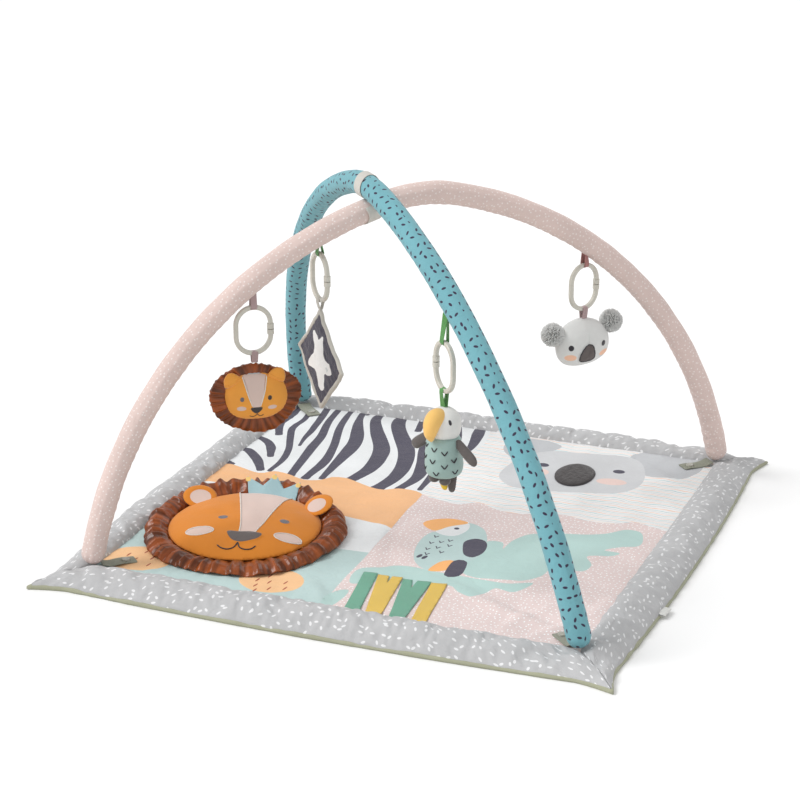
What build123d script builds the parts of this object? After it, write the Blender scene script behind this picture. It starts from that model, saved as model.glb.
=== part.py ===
"""Activity play gym: a padded square mat, two crossed padded arches, four toys
hung from plastic links, and a loose tummy-time pillow.

Frame: origin on the floor at the centre of the mat, +Z up, front edge towards -Y.
"""
import os
from math import asin, cos, radians, sin

from build123d import *

os.makedirs("parts", exist_ok=True)

# ---------------------------------------------------------------- driving dimensions, mm and degrees
MAT_SIDE = 900  # between the tips of the corner ears
BORDER_WIDTH = 72
BORDER_TOP = 32  # crown of the padded border
BORDER_EDGE = 7  # height of the border at its outer seam
NECK_IN = 14  # how far the outline pulls in beside each ear
NECK_FROM_TIP = 60
BULGE_IN = 3  # how far the middle of each side stays inside the ears
BACKING_T = 2.4
WADDING_T = 14
PRINT_T = 2

TUBE_R = 17.5  # padded sleeve of an arch
SLEEVE_T = 0.8
ROD_R = 3.5
GAP = 0.2  # play between rod, foam and sleeve
FOOT_Z = 42  # centre of the rounded foot
PINK_RISE = 496  # arch height above its feet, in its own plane
PINK_CROWN_R = 226
PINK_CROWN_HALF = 12.7
BLUE_RISE = 525
BLUE_CROWN_R = 221
BLUE_CROWN_HALF = 15.2
BLUE_LEAN = 10  # towards the front left corner
STRAP_T = 1.5
STRAP_W = 26
STRAP_PLAY = 0.6  # the band is straight where the tube bends

LINK_H = 78
LINK_W = 60
LINK_BAR = 7
LINK_GAP = 1.4
KNOB_R = 5.2
KNOB_L = 8
EYE_IN = 6.0  # inside radius of a ribbon eye round a link's bar
EYE_T = 1.2
RIBBON_W = 10

PILLOW_X, PILLOW_Y, PILLOW_TURN = -221.5, -184, 16
PILLOW_R = 156  # with the mane
FACE_R = 119
PILLOW_TOP = 64
MANE_TOP = 52

# ---------------------------------------------------------------- derived values
HALF = MAT_SIDE / 2
INNER = HALF - BORDER_WIDTH
CHORD = INNER * 2**0.5  # half the span of an arch
PANEL_TOP = BACKING_T + WADDING_T + PRINT_T
REST = 0.3  # clearance under a loose piece
LINK_DROP = LINK_H - LINK_BAR  # from top bar to bottom bar


def finish(builder, name):
    """Label a finished piece and write it."""
    builder.part.label = name
    export_step(builder.part, f"parts/{name}.step")


def facing(x, y, z, heading):
    """Plane of a hanging piece: x along its heading, y up, z out of its front."""
    a = radians(heading)
    return Plane(origin=(x, y, z), x_dir=(cos(a), sin(a), 0), z_dir=(sin(a), -cos(a), 0))


# ---------------------------------------------------------------- mat
def side_points(turn):
    """Outline points of one side, from ear tip to ear tip, turned about the centre."""
    neck_x, neck_y = HALF - NECK_FROM_TIP, -(HALF - NECK_IN)
    flat = [(-HALF, -HALF), (-neck_x, neck_y), (0, -(HALF - BULGE_IN)), (neck_x, neck_y), (HALF, -HALF)]
    return [Vector(x, y).rotate(Axis.Z, turn) for x, y in flat]


def draw_side(turn):
    """Edges of one side: ear, gentle bulge, ear."""
    left_tip, left_neck, middle, right_neck, right_tip = side_points(turn)
    Line(left_tip, left_neck)
    ThreePointArc(left_neck, middle, right_neck)
    Line(right_neck, right_tip)
    return left_tip, right_tip


SIDES = {"front": 0, "right": 90, "back": 180, "left": 270}
CORNER_TURNS = (0, 90, 180, 270)

with BuildPart() as backing_sheet:
    with BuildSketch():
        with BuildLine():
            for side_turn in SIDES.values():
                draw_side(side_turn)
        make_face()
    extrude(amount=BACKING_T)
finish(backing_sheet, "backing_sheet")

with BuildPart() as centre_wadding:
    with BuildSketch(Plane.XY.offset(BACKING_T)):
        Rectangle(2 * INNER, 2 * INNER)
    extrude(amount=WADDING_T)
finish(centre_wadding, "centre_wadding")

with BuildPart() as centre_panel:
    with BuildSketch(Plane.XY.offset(BACKING_T + WADDING_T)):
        Rectangle(2 * INNER, 2 * INNER)
    extrude(amount=PRINT_T)
finish(centre_panel, "centre_panel")

for side, side_turn in SIDES.items():
    outward = Vector(0, -1).rotate(Axis.Z, side_turn)
    backward = Vector(-1, 0).rotate(Axis.Z, side_turn)
    section_plane = Plane(origin=backward * -(HALF + 10), x_dir=outward, z_dir=backward)
    with BuildPart() as border:
        with BuildSketch(Plane.XY.offset(BACKING_T)):
            with BuildLine():
                left_end, right_end = draw_side(side_turn)
                inner_right = Vector(INNER, -INNER).rotate(Axis.Z, side_turn)
                inner_left = Vector(-INNER, -INNER).rotate(Axis.Z, side_turn)
                Polyline(right_end, inner_right, inner_left, left_end)
            make_face()
        extrude(amount=BORDER_TOP + 10)
        with BuildSketch(section_plane):
            with BuildLine():
                inner_top = (INNER, PANEL_TOP - 0.4)
                crown = (INNER + 0.5 * BORDER_WIDTH, BORDER_TOP)
                outer_top = (HALF + 0.5, BORDER_EDGE)
                ThreePointArc(inner_top, crown, outer_top)
                Polyline(outer_top, (HALF + 0.5, BACKING_T), (INNER, BACKING_T), inner_top)
            make_face()
        extrude(amount=MAT_SIDE + 20, mode=Mode.INTERSECT)
    finish(border, f"border_{side}")

WEB_W, WEB_L, WEB_T = 24, 48, 2.2
WEB_START = 14  # from the foot's centre towards the middle of the mat
STUD_R, STUD_T = 6.5, 3.2


def along_diagonal(turn, distance):
    """Point on the diagonal of one corner, a distance inwards from the foot's centre."""
    return Vector(INNER - distance / 2**0.5, INNER - distance / 2**0.5).rotate(Axis.Z, turn)


with BuildPart() as corner_webbing:
    for corner_turn in CORNER_TURNS:
        middle = along_diagonal(corner_turn, WEB_START + WEB_L / 2)
        web_plane = Plane(origin=(middle.X, middle.Y, PANEL_TOP)).rotated((0, 0, 45 + corner_turn))
        with BuildSketch(web_plane):
            RectangleRounded(WEB_L, WEB_W, 2)
        extrude(amount=WEB_T)
finish(corner_webbing, "corner_webbing")

with BuildPart() as press_studs:
    for corner_turn in CORNER_TURNS:
        middle = along_diagonal(corner_turn, WEB_START + WEB_L - 2 * STUD_R)
        with BuildSketch(Plane(origin=(middle.X, middle.Y, PANEL_TOP + WEB_T))):
            Circle(STUD_R)
        extrude(amount=STUD_T)
    fillet(press_studs.faces().filter_by(Axis.Z).group_by(Axis.Z)[-1].edges(), 1)
finish(press_studs, "press_studs")

# ribbon tags sewn into the front seam, laid back over the panel
TAG_T = 1.2
TAG_FOOT_Y = -INNER + 1
TAG_L = 128
NOTCH_L = 24  # depth of the cut that splits a wide tag into two tongues
# colour: left and right edge at the seam, then at the free end, and the two edges of the cut
TAGS = {
    "green": ((27, 51, 5, 26, None), (97, 120, 68, 111, (82, 90))),
    "yellow": ((60, 84, 28, 66, (45, 50)), (130, 152, 112, 136, None)),
}
for colour, tags in TAGS.items():
    with BuildPart() as ribbons:
        with BuildSketch(Plane.XY.offset(PANEL_TOP)):
            for seam_left, seam_right, free_left, free_right, cut in tags:
                free_y = TAG_FOOT_Y + TAG_L
                tongue_ends = [(free_right, free_y), (free_left, free_y)]
                if cut:
                    root = ((cut[0] + cut[1]) / 2 + 4, free_y - NOTCH_L)
                    tongue_ends[1:1] = [(cut[1], free_y), root, (cut[0], free_y)]
                with BuildLine():
                    Polyline((seam_left, TAG_FOOT_Y), (seam_right, TAG_FOOT_Y), *tongue_ends, close=True)
                make_face()
        extrude(amount=TAG_T)
    finish(ribbons, f"{colour}_ribbons")

NOSE_HALF_W, NOSE_HALF_L, NOSE_T = 33, 49, 3
with BuildPart() as plush_nose_patch:
    with BuildSketch(Plane.XY.offset(PANEL_TOP)):
        with Locations(Location((178, 236), 5)):
            Ellipse(NOSE_HALF_W, NOSE_HALF_L)
    extrude(amount=NOSE_T)
finish(plush_nose_patch, "plush_nose_patch")

NAME_TAG_W, NAME_TAG_T, NAME_TAG_H = 28, 1.0, 14
with BuildPart() as blank_tag:
    with BuildSketch(Plane.XY.offset(BACKING_T)):
        with Locations((HALF - BULGE_IN + 0.4, -188)):
            Rectangle(NAME_TAG_T, NAME_TAG_W)
    extrude(amount=NAME_TAG_H)
finish(blank_tag, "blank_tag")

# ---------------------------------------------------------------- tummy-time pillow, loose on the mat
pillow_plane = Plane(origin=(PILLOW_X, PILLOW_Y, 0)).rotated((0, 0, PILLOW_TURN))
pillow_profile = Plane(origin=(PILLOW_X, PILLOW_Y, 0), x_dir=(1, 0, 0), z_dir=(0, -1, 0))
PILLOW_AXIS = Axis((PILLOW_X, PILLOW_Y, 0), (0, 0, 1))
PILLOW_BASE = PANEL_TOP + REST
BASE_T = 1.2
SEAM_Z = 30
MANE_RISE = 20  # from the face seam out to the crest of the mane
DOME_R = (FACE_R**2 + (PILLOW_TOP - SEAM_Z) ** 2) / (2 * (PILLOW_TOP - SEAM_Z))

with BuildPart() as pillow_base:
    with BuildSketch(pillow_plane.offset(PILLOW_BASE)):
        Circle(FACE_R)
    extrude(amount=BASE_T)
finish(pillow_base, "pillow_base")

with BuildPart() as pillow_cushion:
    with BuildSketch(pillow_profile):
        with BuildLine():
            bottom_edge = (FACE_R - 14, PILLOW_BASE + BASE_T)
            seam = (FACE_R, SEAM_Z)
            top = (0, PILLOW_TOP)
            Polyline(top, (0, PILLOW_BASE + BASE_T), bottom_edge)
            Line(bottom_edge, seam)
            dome_half = asin(FACE_R / DOME_R) / 2
            ThreePointArc(seam, (DOME_R * sin(dome_half), PILLOW_TOP - DOME_R * (1 - cos(dome_half))), top)
        make_face()
    revolve(axis=PILLOW_AXIS)
finish(pillow_cushion, "pillow_cushion")

with BuildPart() as pillow_mane:
    with BuildSketch(pillow_profile):
        with BuildLine():
            mane_inner = (FACE_R + REST, PILLOW_BASE)
            mane_outer = (PILLOW_R, PILLOW_BASE)
            mane_crest = (FACE_R + MANE_RISE, MANE_TOP)
            Polyline(mane_crest, (FACE_R + REST, SEAM_Z + 6), mane_inner, mane_outer)
            Line(mane_outer, (PILLOW_R, PILLOW_BASE + 6))
            Line((PILLOW_R, PILLOW_BASE + 6), mane_crest)
        make_face()
    revolve(axis=PILLOW_AXIS)
finish(pillow_mane, "pillow_mane")

EAR_R, EAR_T = 22, 7
EAR_PLACES = ((-100, 68), (100, 68))
with BuildPart() as pillow_ears:
    with BuildSketch(pillow_plane.offset(MANE_TOP + REST)):
        with Locations(*EAR_PLACES):
            Circle(EAR_R)
    extrude(amount=EAR_T)
    fillet(pillow_ears.faces().filter_by(Axis.Z).group_by(Axis.Z)[-1].edges(), 2.5)
finish(pillow_ears, "pillow_ears")

CROWN_T = 2.5
CROWN_POINTS = ((-8, 112), (-14, 146), (8, 134), (26, 150), (42, 130), (66, 134), (64, 106))
with BuildPart() as pillow_crown:
    with BuildSketch(pillow_plane.offset(MANE_TOP + REST)):
        with BuildLine():
            Polyline(*CROWN_POINTS, close=True)
        make_face()
    extrude(amount=CROWN_T)
finish(pillow_crown, "pillow_crown")


# ---------------------------------------------------------------- arches
def arch_frame(heading, lean):
    """Plane of an arch: x along its chord, y up its rise, leaning about the chord."""
    a, t = radians(heading), radians(lean)
    chord = Vector(cos(a), sin(a), 0)
    side = Vector(sin(a), -cos(a), 0)
    rise = side * sin(t) + Vector(0, 0, cos(t))
    return Plane(origin=(0, 0, FOOT_Z), x_dir=chord, z_dir=chord.cross(rise))


def side_arc(rise, crown_r, crown_half):
    """Shoulder, centre and radius of the right-hand side arc, which is tangent to the crown."""
    f = radians(crown_half)
    shoulder = Vector(crown_r * sin(f), rise - crown_r + crown_r * cos(f))
    inward = Vector(-sin(f), -cos(f))
    to_foot = Vector(CHORD, 0) - shoulder
    radius = to_foot.dot(to_foot) / (2 * to_foot.dot(inward))
    return shoulder, shoulder + inward * radius, radius


def centre_line(rise, crown_r, crown_half):
    """Three tangent arcs from foot to foot: a tight crown and two long sides."""
    shoulder, centre, radius = side_arc(rise, crown_r, crown_half)
    foot = Vector(CHORD, 0)
    half_way = ((shoulder - centre) + (foot - centre)).normalized() * radius + centre
    ThreePointArc((-CHORD, 0), (-half_way.X, half_way.Y), (-shoulder.X, shoulder.Y))
    ThreePointArc((-shoulder.X, shoulder.Y), (0, rise), (shoulder.X, shoulder.Y))
    ThreePointArc((shoulder.X, shoulder.Y), (half_way.X, half_way.Y), (CHORD, 0))


def tube(plane, shape, outer, inner):
    """Round tube along an arch; inner is 0 for a solid rod."""
    with BuildPart() as made:
        with BuildLine(plane) as route:
            centre_line(*shape)
        path = route.wires()[0]
        section = Plane(origin=path @ 0, z_dir=path % 0)
        with BuildSketch(section):
            Circle(outer)
        sweep(path=path)
        if inner:
            with BuildSketch(section):
                Circle(inner)
            sweep(path=path, mode=Mode.SUBTRACT)
    return made


def foot_ends(plane, shape):
    """Rounded, closed ends of the sleeve, below the last section of the tube."""
    with BuildLine(plane, mode=Mode.PRIVATE) as route:
        centre_line(*shape)
    path = route.wires()[0]
    with BuildPart() as made:
        for place in (0, 1):
            inward = path % place * (1 if place == 0 else -1)
            with Locations(path @ place):
                Sphere(TUBE_R)
            end_plane = Plane(origin=path @ place, z_dir=inward)
            with BuildSketch(end_plane):
                Circle(2 * TUBE_R)
            extrude(amount=2 * TUBE_R, mode=Mode.SUBTRACT)
    return made


def band(place, direction, sweep_from, sweep_to, up):
    """Part of a webbing band round a tube, between two angles of its section."""
    plane = Plane(origin=place, x_dir=up.cross(direction), z_dir=direction)
    r_in, r_out = TUBE_R + STRAP_PLAY, TUBE_R + STRAP_PLAY + STRAP_T
    with BuildPart() as made:
        with BuildSketch(plane.offset(-STRAP_W / 2)):
            with BuildLine():
                outer = CenterArc((0, 0), r_out, sweep_from, sweep_to - sweep_from)
                inner = CenterArc((0, 0), r_in, sweep_from, sweep_to - sweep_from)
                Line(outer @ 0, inner @ 0)
                Line(outer @ 1, inner @ 1)
            make_face()
        extrude(amount=STRAP_W)
    return made


PINK_SHAPE = (PINK_RISE, PINK_CROWN_R, PINK_CROWN_HALF)
BLUE_SHAPE = (BLUE_RISE, BLUE_CROWN_R, BLUE_CROWN_HALF)
pink_frame = arch_frame(45, 0)
blue_frame = arch_frame(-45, BLUE_LEAN)
sleeves = {}

for colour, frame, shape in (("pink", pink_frame, PINK_SHAPE), ("blue", blue_frame, BLUE_SHAPE)):
    rod = tube(frame, shape, ROD_R, 0)
    finish(rod, f"{colour}_rod")
    foam = tube(frame, shape, TUBE_R - SLEEVE_T - GAP, ROD_R + GAP)
    finish(foam, f"{colour}_foam")
    sleeve = tube(frame, shape, TUBE_R, TUBE_R - SLEEVE_T)
    finish(sleeve, f"{colour}_sleeve")
    finish(foot_ends(frame, shape), f"{colour}_feet")
    sleeves[colour] = tube(frame, shape, TUBE_R + 0.05, 0)

# the strap that holds the arches together parts into a band on each arch
up = Vector(0, 0, 1)
blue_top = blue_frame.from_local_coords(Vector(0, BLUE_RISE, 0))
finish(band(blue_top, blue_frame.x_dir, -28, 208, up), "strap_blue_half")

CROSS_S = -BLUE_RISE * sin(radians(BLUE_LEAN))  # where the blue arch passes over the pink one
_, side_centre, side_r = side_arc(*PINK_SHAPE)
offset = CROSS_S + side_centre.X  # mirrored to the left side
cross_y = side_centre.Y + (side_r**2 - offset**2) ** 0.5
cross_place = pink_frame.from_local_coords(Vector(CROSS_S, cross_y, 0))
cross_radial = (cross_place - pink_frame.from_local_coords(Vector(-side_centre.X, side_centre.Y, 0))).normalized()
cross_tangent = pink_frame.z_dir.cross(cross_radial)
finish(band(cross_place, cross_tangent, 155, 385, cross_radial), "strap_pink_half")


# ---------------------------------------------------------------- links, ribbon eyes and toys
# name: place along the chord, sideways from the arch plane, height of the link's top bar,
#       heading of the link, heading of the toy, side of the link's knobs, arch
HANGERS = {
    "lion": (-275, 0, 392.5, 40, 36, 1, "pink"),
    "pennant": (-168, 0, 462.5, -42, -42, 1, "pink"),
    "koala": (277, 0, 392.5, 60, 46, 1, "pink"),
    "toucan": (270, 85, 395.5, -42, -20, -1, "blue"),
}


def hang_point(name):
    """Centre of the link's top bar."""
    along, aside, height, _, _, _, arch = HANGERS[name]
    a = radians(45 if arch == "pink" else -45)
    x = along * cos(a) - aside * cos(radians(45))
    y = along * sin(a) - aside * sin(radians(45))
    return x, y, height


def link(plane, knob_side):
    """Flat oval ring with a gap between two knobs on one side, hung by its top bar."""
    with BuildPart() as made:
        middle = -(LINK_H - LINK_BAR) / 2
        with BuildSketch(plane):
            with Locations((0, middle)):
                SlotOverall(LINK_H, LINK_W, rotation=90)
                SlotOverall(LINK_H - 2 * LINK_BAR, LINK_W - 2 * LINK_BAR, rotation=90, mode=Mode.SUBTRACT)
        extrude(amount=LINK_BAR / 2, both=True)
        fillet(made.edges().filter_by(lambda e: e.length > LINK_W / 3), 2)
        knob_x = knob_side * (LINK_W - LINK_BAR) / 2
        across = Plane(origin=plane.from_local_coords(Vector(knob_x, middle, 0)), z_dir=plane.y_dir)
        with BuildSketch(across):
            Circle(KNOB_R)
        extrude(amount=KNOB_L, both=True)
        with BuildSketch(across):
            Rectangle(3 * KNOB_R, 3 * KNOB_R)
        extrude(amount=LINK_GAP / 2, both=True, mode=Mode.SUBTRACT)
    return made


def eye(plane, reach, width):
    """Ribbon eye round a link's bar, with both tails running on by reach (up is positive)."""
    side_plane = Plane(origin=plane.origin, x_dir=plane.z_dir, z_dir=plane.x_dir * -1)
    outer = EYE_IN + EYE_T
    step = 1 if reach > 0 else -1
    with BuildPart() as made:
        with BuildSketch(side_plane.offset(-width / 2)):
            Circle(outer)
            with Locations((0, reach / 2 + step * EYE_IN / 2)):
                Rectangle(2 * EYE_T, abs(reach) - EYE_IN)
            Circle(EYE_IN, mode=Mode.SUBTRACT)
        extrude(amount=width)
    return made


def hung_from(name, drop=0):
    """Plane of the toy below the link's bottom bar."""
    x, y, z = hang_point(name)
    return facing(x, y, z - LINK_DROP - drop, HANGERS[name][4])


ARCH_EYE_REACH = {"lion": 40, "pennant": 30, "koala": 40, "toucan": 60}
for toy in HANGERS:
    x, y, z = hang_point(toy)
    link_plane = facing(x, y, z, HANGERS[toy][3])
    finish(link(link_plane, HANGERS[toy][5]), f"link_{toy}")
    arch_eye = eye(link_plane, ARCH_EYE_REACH[toy], RIBBON_W)
    with arch_eye:
        add(sleeves[HANGERS[toy][6]].part, mode=Mode.SUBTRACT)
        below = arch_eye.part.solids().sort_by(Axis.Z)[0]
    with BuildPart() as arch_loop:
        add(below)
    finish(arch_loop, f"arch_loop_{toy}")


def toy_eye(name, reach):
    """Ribbon eye round the bottom bar of a link, sewn to the toy at its lower end."""
    x, y, z = hang_point(name)
    bar_plane = facing(x, y, z - LINK_DROP, HANGERS[name][3])
    finish(eye(bar_plane, -reach, RIBBON_W), f"{name}_ribbon")


# lion: oval velour face in a gathered mane
LION_DROP = 13
MANE_HALF_W, MANE_HALF_H, MANE_T = 70, 53, 14
HEAD_HALF_W, HEAD_HALF_H, HEAD_T = 52, 39, 36
toy_eye("lion", LION_DROP)
lion_plane = hung_from("lion", LION_DROP + MANE_HALF_H)
with BuildPart() as lion_mane:
    with BuildSketch(lion_plane):
        Ellipse(MANE_HALF_W, MANE_HALF_H)
        Ellipse(HEAD_HALF_W + REST, HEAD_HALF_H + REST, mode=Mode.SUBTRACT)
    extrude(amount=MANE_T / 2, both=True)
finish(lion_mane, "lion_mane")
with BuildPart() as lion_head:
    with BuildSketch(lion_plane):
        Ellipse(HEAD_HALF_W, HEAD_HALF_H)
    extrude(amount=HEAD_T / 2, both=True)
    fillet(lion_head.edges(), 9)
finish(lion_head, "lion_head")
with BuildPart() as lion_ears:
    with BuildSketch(lion_plane.offset(MANE_T / 2 + 0.1)):
        with Locations((-50, 37), (50, 37)):
            Circle(10)
    extrude(amount=6)
finish(lion_ears, "lion_ears")

# pennant: a crinkling diamond of two cloths with film between them, bound at the edge
PENNANT_SIDE, PENNANT_BINDING = 115, 7
CLOTH_T, FILM_T, BINDING_T = 1.6, 0.4, 5
PENNANT_DROP = 13
toy_eye("pennant", PENNANT_DROP)
pennant_plane = hung_from("pennant", PENNANT_DROP + PENNANT_SIDE / 2**0.5)
inside = PENNANT_SIDE - 2 * PENNANT_BINDING
with BuildPart() as pennant_binding:
    with BuildSketch(pennant_plane):
        Rectangle(PENNANT_SIDE, PENNANT_SIDE, rotation=45)
        Rectangle(inside, inside, rotation=45, mode=Mode.SUBTRACT)
    extrude(amount=BINDING_T / 2, both=True)
finish(pennant_binding, "pennant_binding")
with BuildPart() as pennant_film:
    with BuildSketch(pennant_plane.offset(-FILM_T / 2)):
        Rectangle(inside, inside, rotation=45)
    extrude(amount=FILM_T)
finish(pennant_film, "pennant_film")
for cloth, start in (("pennant_front", FILM_T / 2), ("pennant_back", -FILM_T / 2 - CLOTH_T)):
    with BuildPart() as pennant_cloth:
        with BuildSketch(pennant_plane.offset(start)):
            Rectangle(inside, inside, rotation=45)
        extrude(amount=CLOTH_T)
    finish(pennant_cloth, cloth)

# toucan: round body, ball head, beak, wings, feet and tail, with a rattle inside
TOUCAN_DROP = 24
TOUCAN_HEAD_R, TOUCAN_BODY_R, TOUCAN_BODY_H = 25, 28, 62
NECK_DROP = 43  # from the crown of the head to the neck
RATTLE_R = 12
toy_eye("toucan", TOUCAN_DROP)
crown_plane = hung_from("toucan", TOUCAN_DROP)
body_top = hung_from("toucan", TOUCAN_DROP + NECK_DROP)
body_low = hung_from("toucan", TOUCAN_DROP + NECK_DROP + TOUCAN_BODY_H)


def lying(plane):
    """Level plane at a hanging plane's origin, with the same heading."""
    return Plane(origin=plane.origin, x_dir=plane.x_dir, z_dir=(0, 0, 1))


with BuildPart() as toucan_body:
    with BuildSketch(lying(body_low)):
        Circle(TOUCAN_BODY_R)
    extrude(amount=TOUCAN_BODY_H)
    fillet(toucan_body.edges().filter_by(GeomType.CIRCLE).group_by(Axis.Z)[0], 9)
    fillet(toucan_body.edges().filter_by(GeomType.CIRCLE).group_by(Axis.Z)[-1], 6)
    with Locations(body_low.from_local_coords(Vector(0, TOUCAN_BODY_H / 2, 0))):
        Sphere(RATTLE_R + REST, mode=Mode.SUBTRACT)
finish(toucan_body, "toucan_body")
with BuildPart() as toucan_rattle:
    with Locations(body_low.from_local_coords(Vector(0, TOUCAN_BODY_H / 2, 0))):
        Sphere(RATTLE_R)
finish(toucan_rattle, "toucan_rattle")
with BuildPart() as toucan_head:
    with Locations(crown_plane.from_local_coords(Vector(0, -TOUCAN_HEAD_R, 0))):
        Sphere(TOUCAN_HEAD_R)
    with BuildSketch(lying(body_top)):
        Circle(2 * TOUCAN_HEAD_R)
    extrude(amount=-TOUCAN_HEAD_R, mode=Mode.SUBTRACT)
finish(toucan_head, "toucan_head")
beak_plane = Plane(origin=crown_plane.origin, x_dir=crown_plane.z_dir, z_dir=crown_plane.x_dir * -1)
with BuildPart() as toucan_beak:
    with BuildSketch(beak_plane):
        with BuildLine():
            beak_root, beak_brow, beak_tip = (16, -41), (20, -8), (33, -42.5)
            ThreePointArc(beak_brow, (38, -24), beak_tip)
            Polyline(beak_tip, beak_root, beak_brow)
        make_face()
    extrude(amount=12, both=True)
    with Locations(crown_plane.from_local_coords(Vector(0, -TOUCAN_HEAD_R, 0))):
        Sphere(TOUCAN_HEAD_R + REST, mode=Mode.SUBTRACT)
finish(toucan_beak, "toucan_beak")
with BuildPart() as toucan_wings:
    for way in (-1, 1):
        with BuildSketch(body_top.offset(-4)):
            with Locations(Location((way * 43, -20), way * -45)):
                SlotOverall(40, 15)
        extrude(amount=8)
    with BuildSketch(lying(body_low)):
        Circle(TOUCAN_BODY_R + REST)
    extrude(amount=TOUCAN_BODY_H, mode=Mode.SUBTRACT)
finish(toucan_wings, "toucan_wings")
FOOT_DROP = 9
with BuildPart() as toucan_feet:
    with BuildSketch(lying(body_low)):
        with Locations((-10, -9), (10, -9)):
            Circle(7.5)
    extrude(amount=-FOOT_DROP)
    fillet(toucan_feet.edges().filter_by(GeomType.CIRCLE).group_by(Axis.Z)[0], 3)
finish(toucan_feet, "toucan_feet")
with BuildPart() as toucan_tail:
    with BuildSketch(lying(body_low)):
        with Locations((-7.5, 9), (7.5, 9)):
            RectangleRounded(13, 7, 3)
    extrude(amount=-27)
finish(toucan_tail, "toucan_tail")

# koala: wide stuffed head with two pompom ears, a velour nose and a squeaker inside
KOALA_DROP = 18
KOALA_HALF_W, KOALA_HALF_H, KOALA_T = 44, 37, 50
POMPOM_R = 16
SQUEAKER_R = 13
toy_eye("koala", KOALA_DROP)
koala_plane = hung_from("koala", KOALA_DROP + KOALA_HALF_H)
with BuildPart() as koala_head:
    with BuildSketch(koala_plane):
        Ellipse(KOALA_HALF_W, KOALA_HALF_H)
    extrude(amount=KOALA_T / 2, both=True)
    fillet(koala_head.edges(), 16)
    with BuildSketch(koala_plane.offset(-8)):
        Circle(SQUEAKER_R + REST)
    extrude(amount=16, mode=Mode.SUBTRACT)
finish(koala_head, "koala_head")
with BuildPart() as koala_squeaker:
    with BuildSketch(koala_plane.offset(-8 + REST)):
        Circle(SQUEAKER_R)
    extrude(amount=16 - 2 * REST)
finish(koala_squeaker, "koala_squeaker")
with BuildPart() as koala_ears:
    for way in (-1, 1):
        with Locations(koala_plane.from_local_coords(Vector(way * 52, 30, 0))):
            Sphere(POMPOM_R)
finish(koala_ears, "koala_ears")
with BuildPart() as koala_nose:
    with BuildSketch(koala_plane.offset(KOALA_T / 2)):
        with Locations((0, -8)):
            Ellipse(9, 12)
    extrude(amount=2.5)
finish(koala_nose, "koala_nose")
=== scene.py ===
import math
from math import cos, pi, radians, sin

import bmesh
import bpy
import numpy as np
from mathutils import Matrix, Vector
from mathutils.geometry import delaunay_2d_cdt


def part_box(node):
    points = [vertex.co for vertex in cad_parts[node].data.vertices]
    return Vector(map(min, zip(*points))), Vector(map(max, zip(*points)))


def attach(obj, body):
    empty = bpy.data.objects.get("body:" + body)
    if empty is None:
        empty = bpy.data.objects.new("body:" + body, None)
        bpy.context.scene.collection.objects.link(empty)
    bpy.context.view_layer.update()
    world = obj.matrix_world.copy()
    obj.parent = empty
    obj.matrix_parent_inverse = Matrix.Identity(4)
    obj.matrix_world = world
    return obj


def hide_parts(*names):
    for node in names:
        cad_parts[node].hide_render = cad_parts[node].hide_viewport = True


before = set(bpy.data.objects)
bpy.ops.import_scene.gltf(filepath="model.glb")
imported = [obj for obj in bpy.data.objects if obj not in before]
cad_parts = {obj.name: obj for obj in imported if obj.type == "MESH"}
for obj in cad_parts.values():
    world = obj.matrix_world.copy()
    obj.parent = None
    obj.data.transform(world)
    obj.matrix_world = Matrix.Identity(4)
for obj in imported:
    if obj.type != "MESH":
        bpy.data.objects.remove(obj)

MM = 0.001
scene = bpy.context.scene
for spare in ("Cube", "Light", "Camera"):
    if spare in bpy.data.objects:
        bpy.data.objects.remove(bpy.data.objects[spare])
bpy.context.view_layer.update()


# ------------------------------------------------------------------ small helpers
def rgb(red, green, blue):
    """Linear colour of an sRGB one, 0 to 255."""
    def linear(c):
        c = c / 255
        return c / 12.92 if c <= 0.04045 else ((c + 0.055) / 1.055) ** 2.4
    return (linear(red), linear(green), linear(blue), 1)


def box_mm(node):
    """Lowest corner, highest corner and centre of a CAD node, in mm."""
    low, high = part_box(node)
    low, high = np.array(low) / MM, np.array(high) / MM
    return low, high, (low + high) / 2


def swell(x, y, wavelength, seed, octaves=3):
    """Smooth random height, about -1 to 1, from a few crossed waves."""
    rng = np.random.default_rng(seed)
    total, weight = 0 * x, 0.0
    for octave in range(octaves):
        for _ in range(4):
            turn, phase = rng.uniform(0, 2 * pi, 2)
            k = 2 * pi / wavelength * 1.9**octave * rng.uniform(0.8, 1.25)
            total = total + 0.6**octave * np.sin(k * (x * cos(turn) + y * sin(turn)) + phase)
            weight += 0.36**octave
    return total / math.sqrt(weight) / 1.4


def smooth_run(a, b, c, d, step):
    """Points about every step mm on a smooth curve from b towards c; a and d lie before and after them."""
    count = max(2, int(np.linalg.norm(c - b) / step))
    return [0.5 * (2 * b + (c - a) * t + (2 * a - 5 * b + 4 * c - d) * t**2 + (3 * b - a - 3 * c + d) * t**3)
            for t in np.arange(count) / count]


def smooth_loop(points, step=4.0):
    """Closed curve through a few points."""
    p = np.array(points, float)
    out = []
    for i in range(len(p)):
        out += smooth_run(p[i - 1], p[i], p[(i + 1) % len(p)], p[(i + 2) % len(p)], step)
    return np.array(out)


def smooth_line(points, step=4.0):
    """Open curve through a few points."""
    p = np.array(points, float)
    p = np.vstack([2 * p[0] - p[1], p, 2 * p[-1] - p[-2]])
    out = []
    for i in range(1, len(p) - 2):
        out += smooth_run(*p[i - 1:i + 3], step)
    return np.array(out + [p[-2]])


def straight_loop(corners, count):
    """Closed line through corners, with count points on each side."""
    return np.vstack([
        np.linspace(corners[i - 1], corners[i], count, endpoint=False) for i in range(len(corners))])


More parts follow.
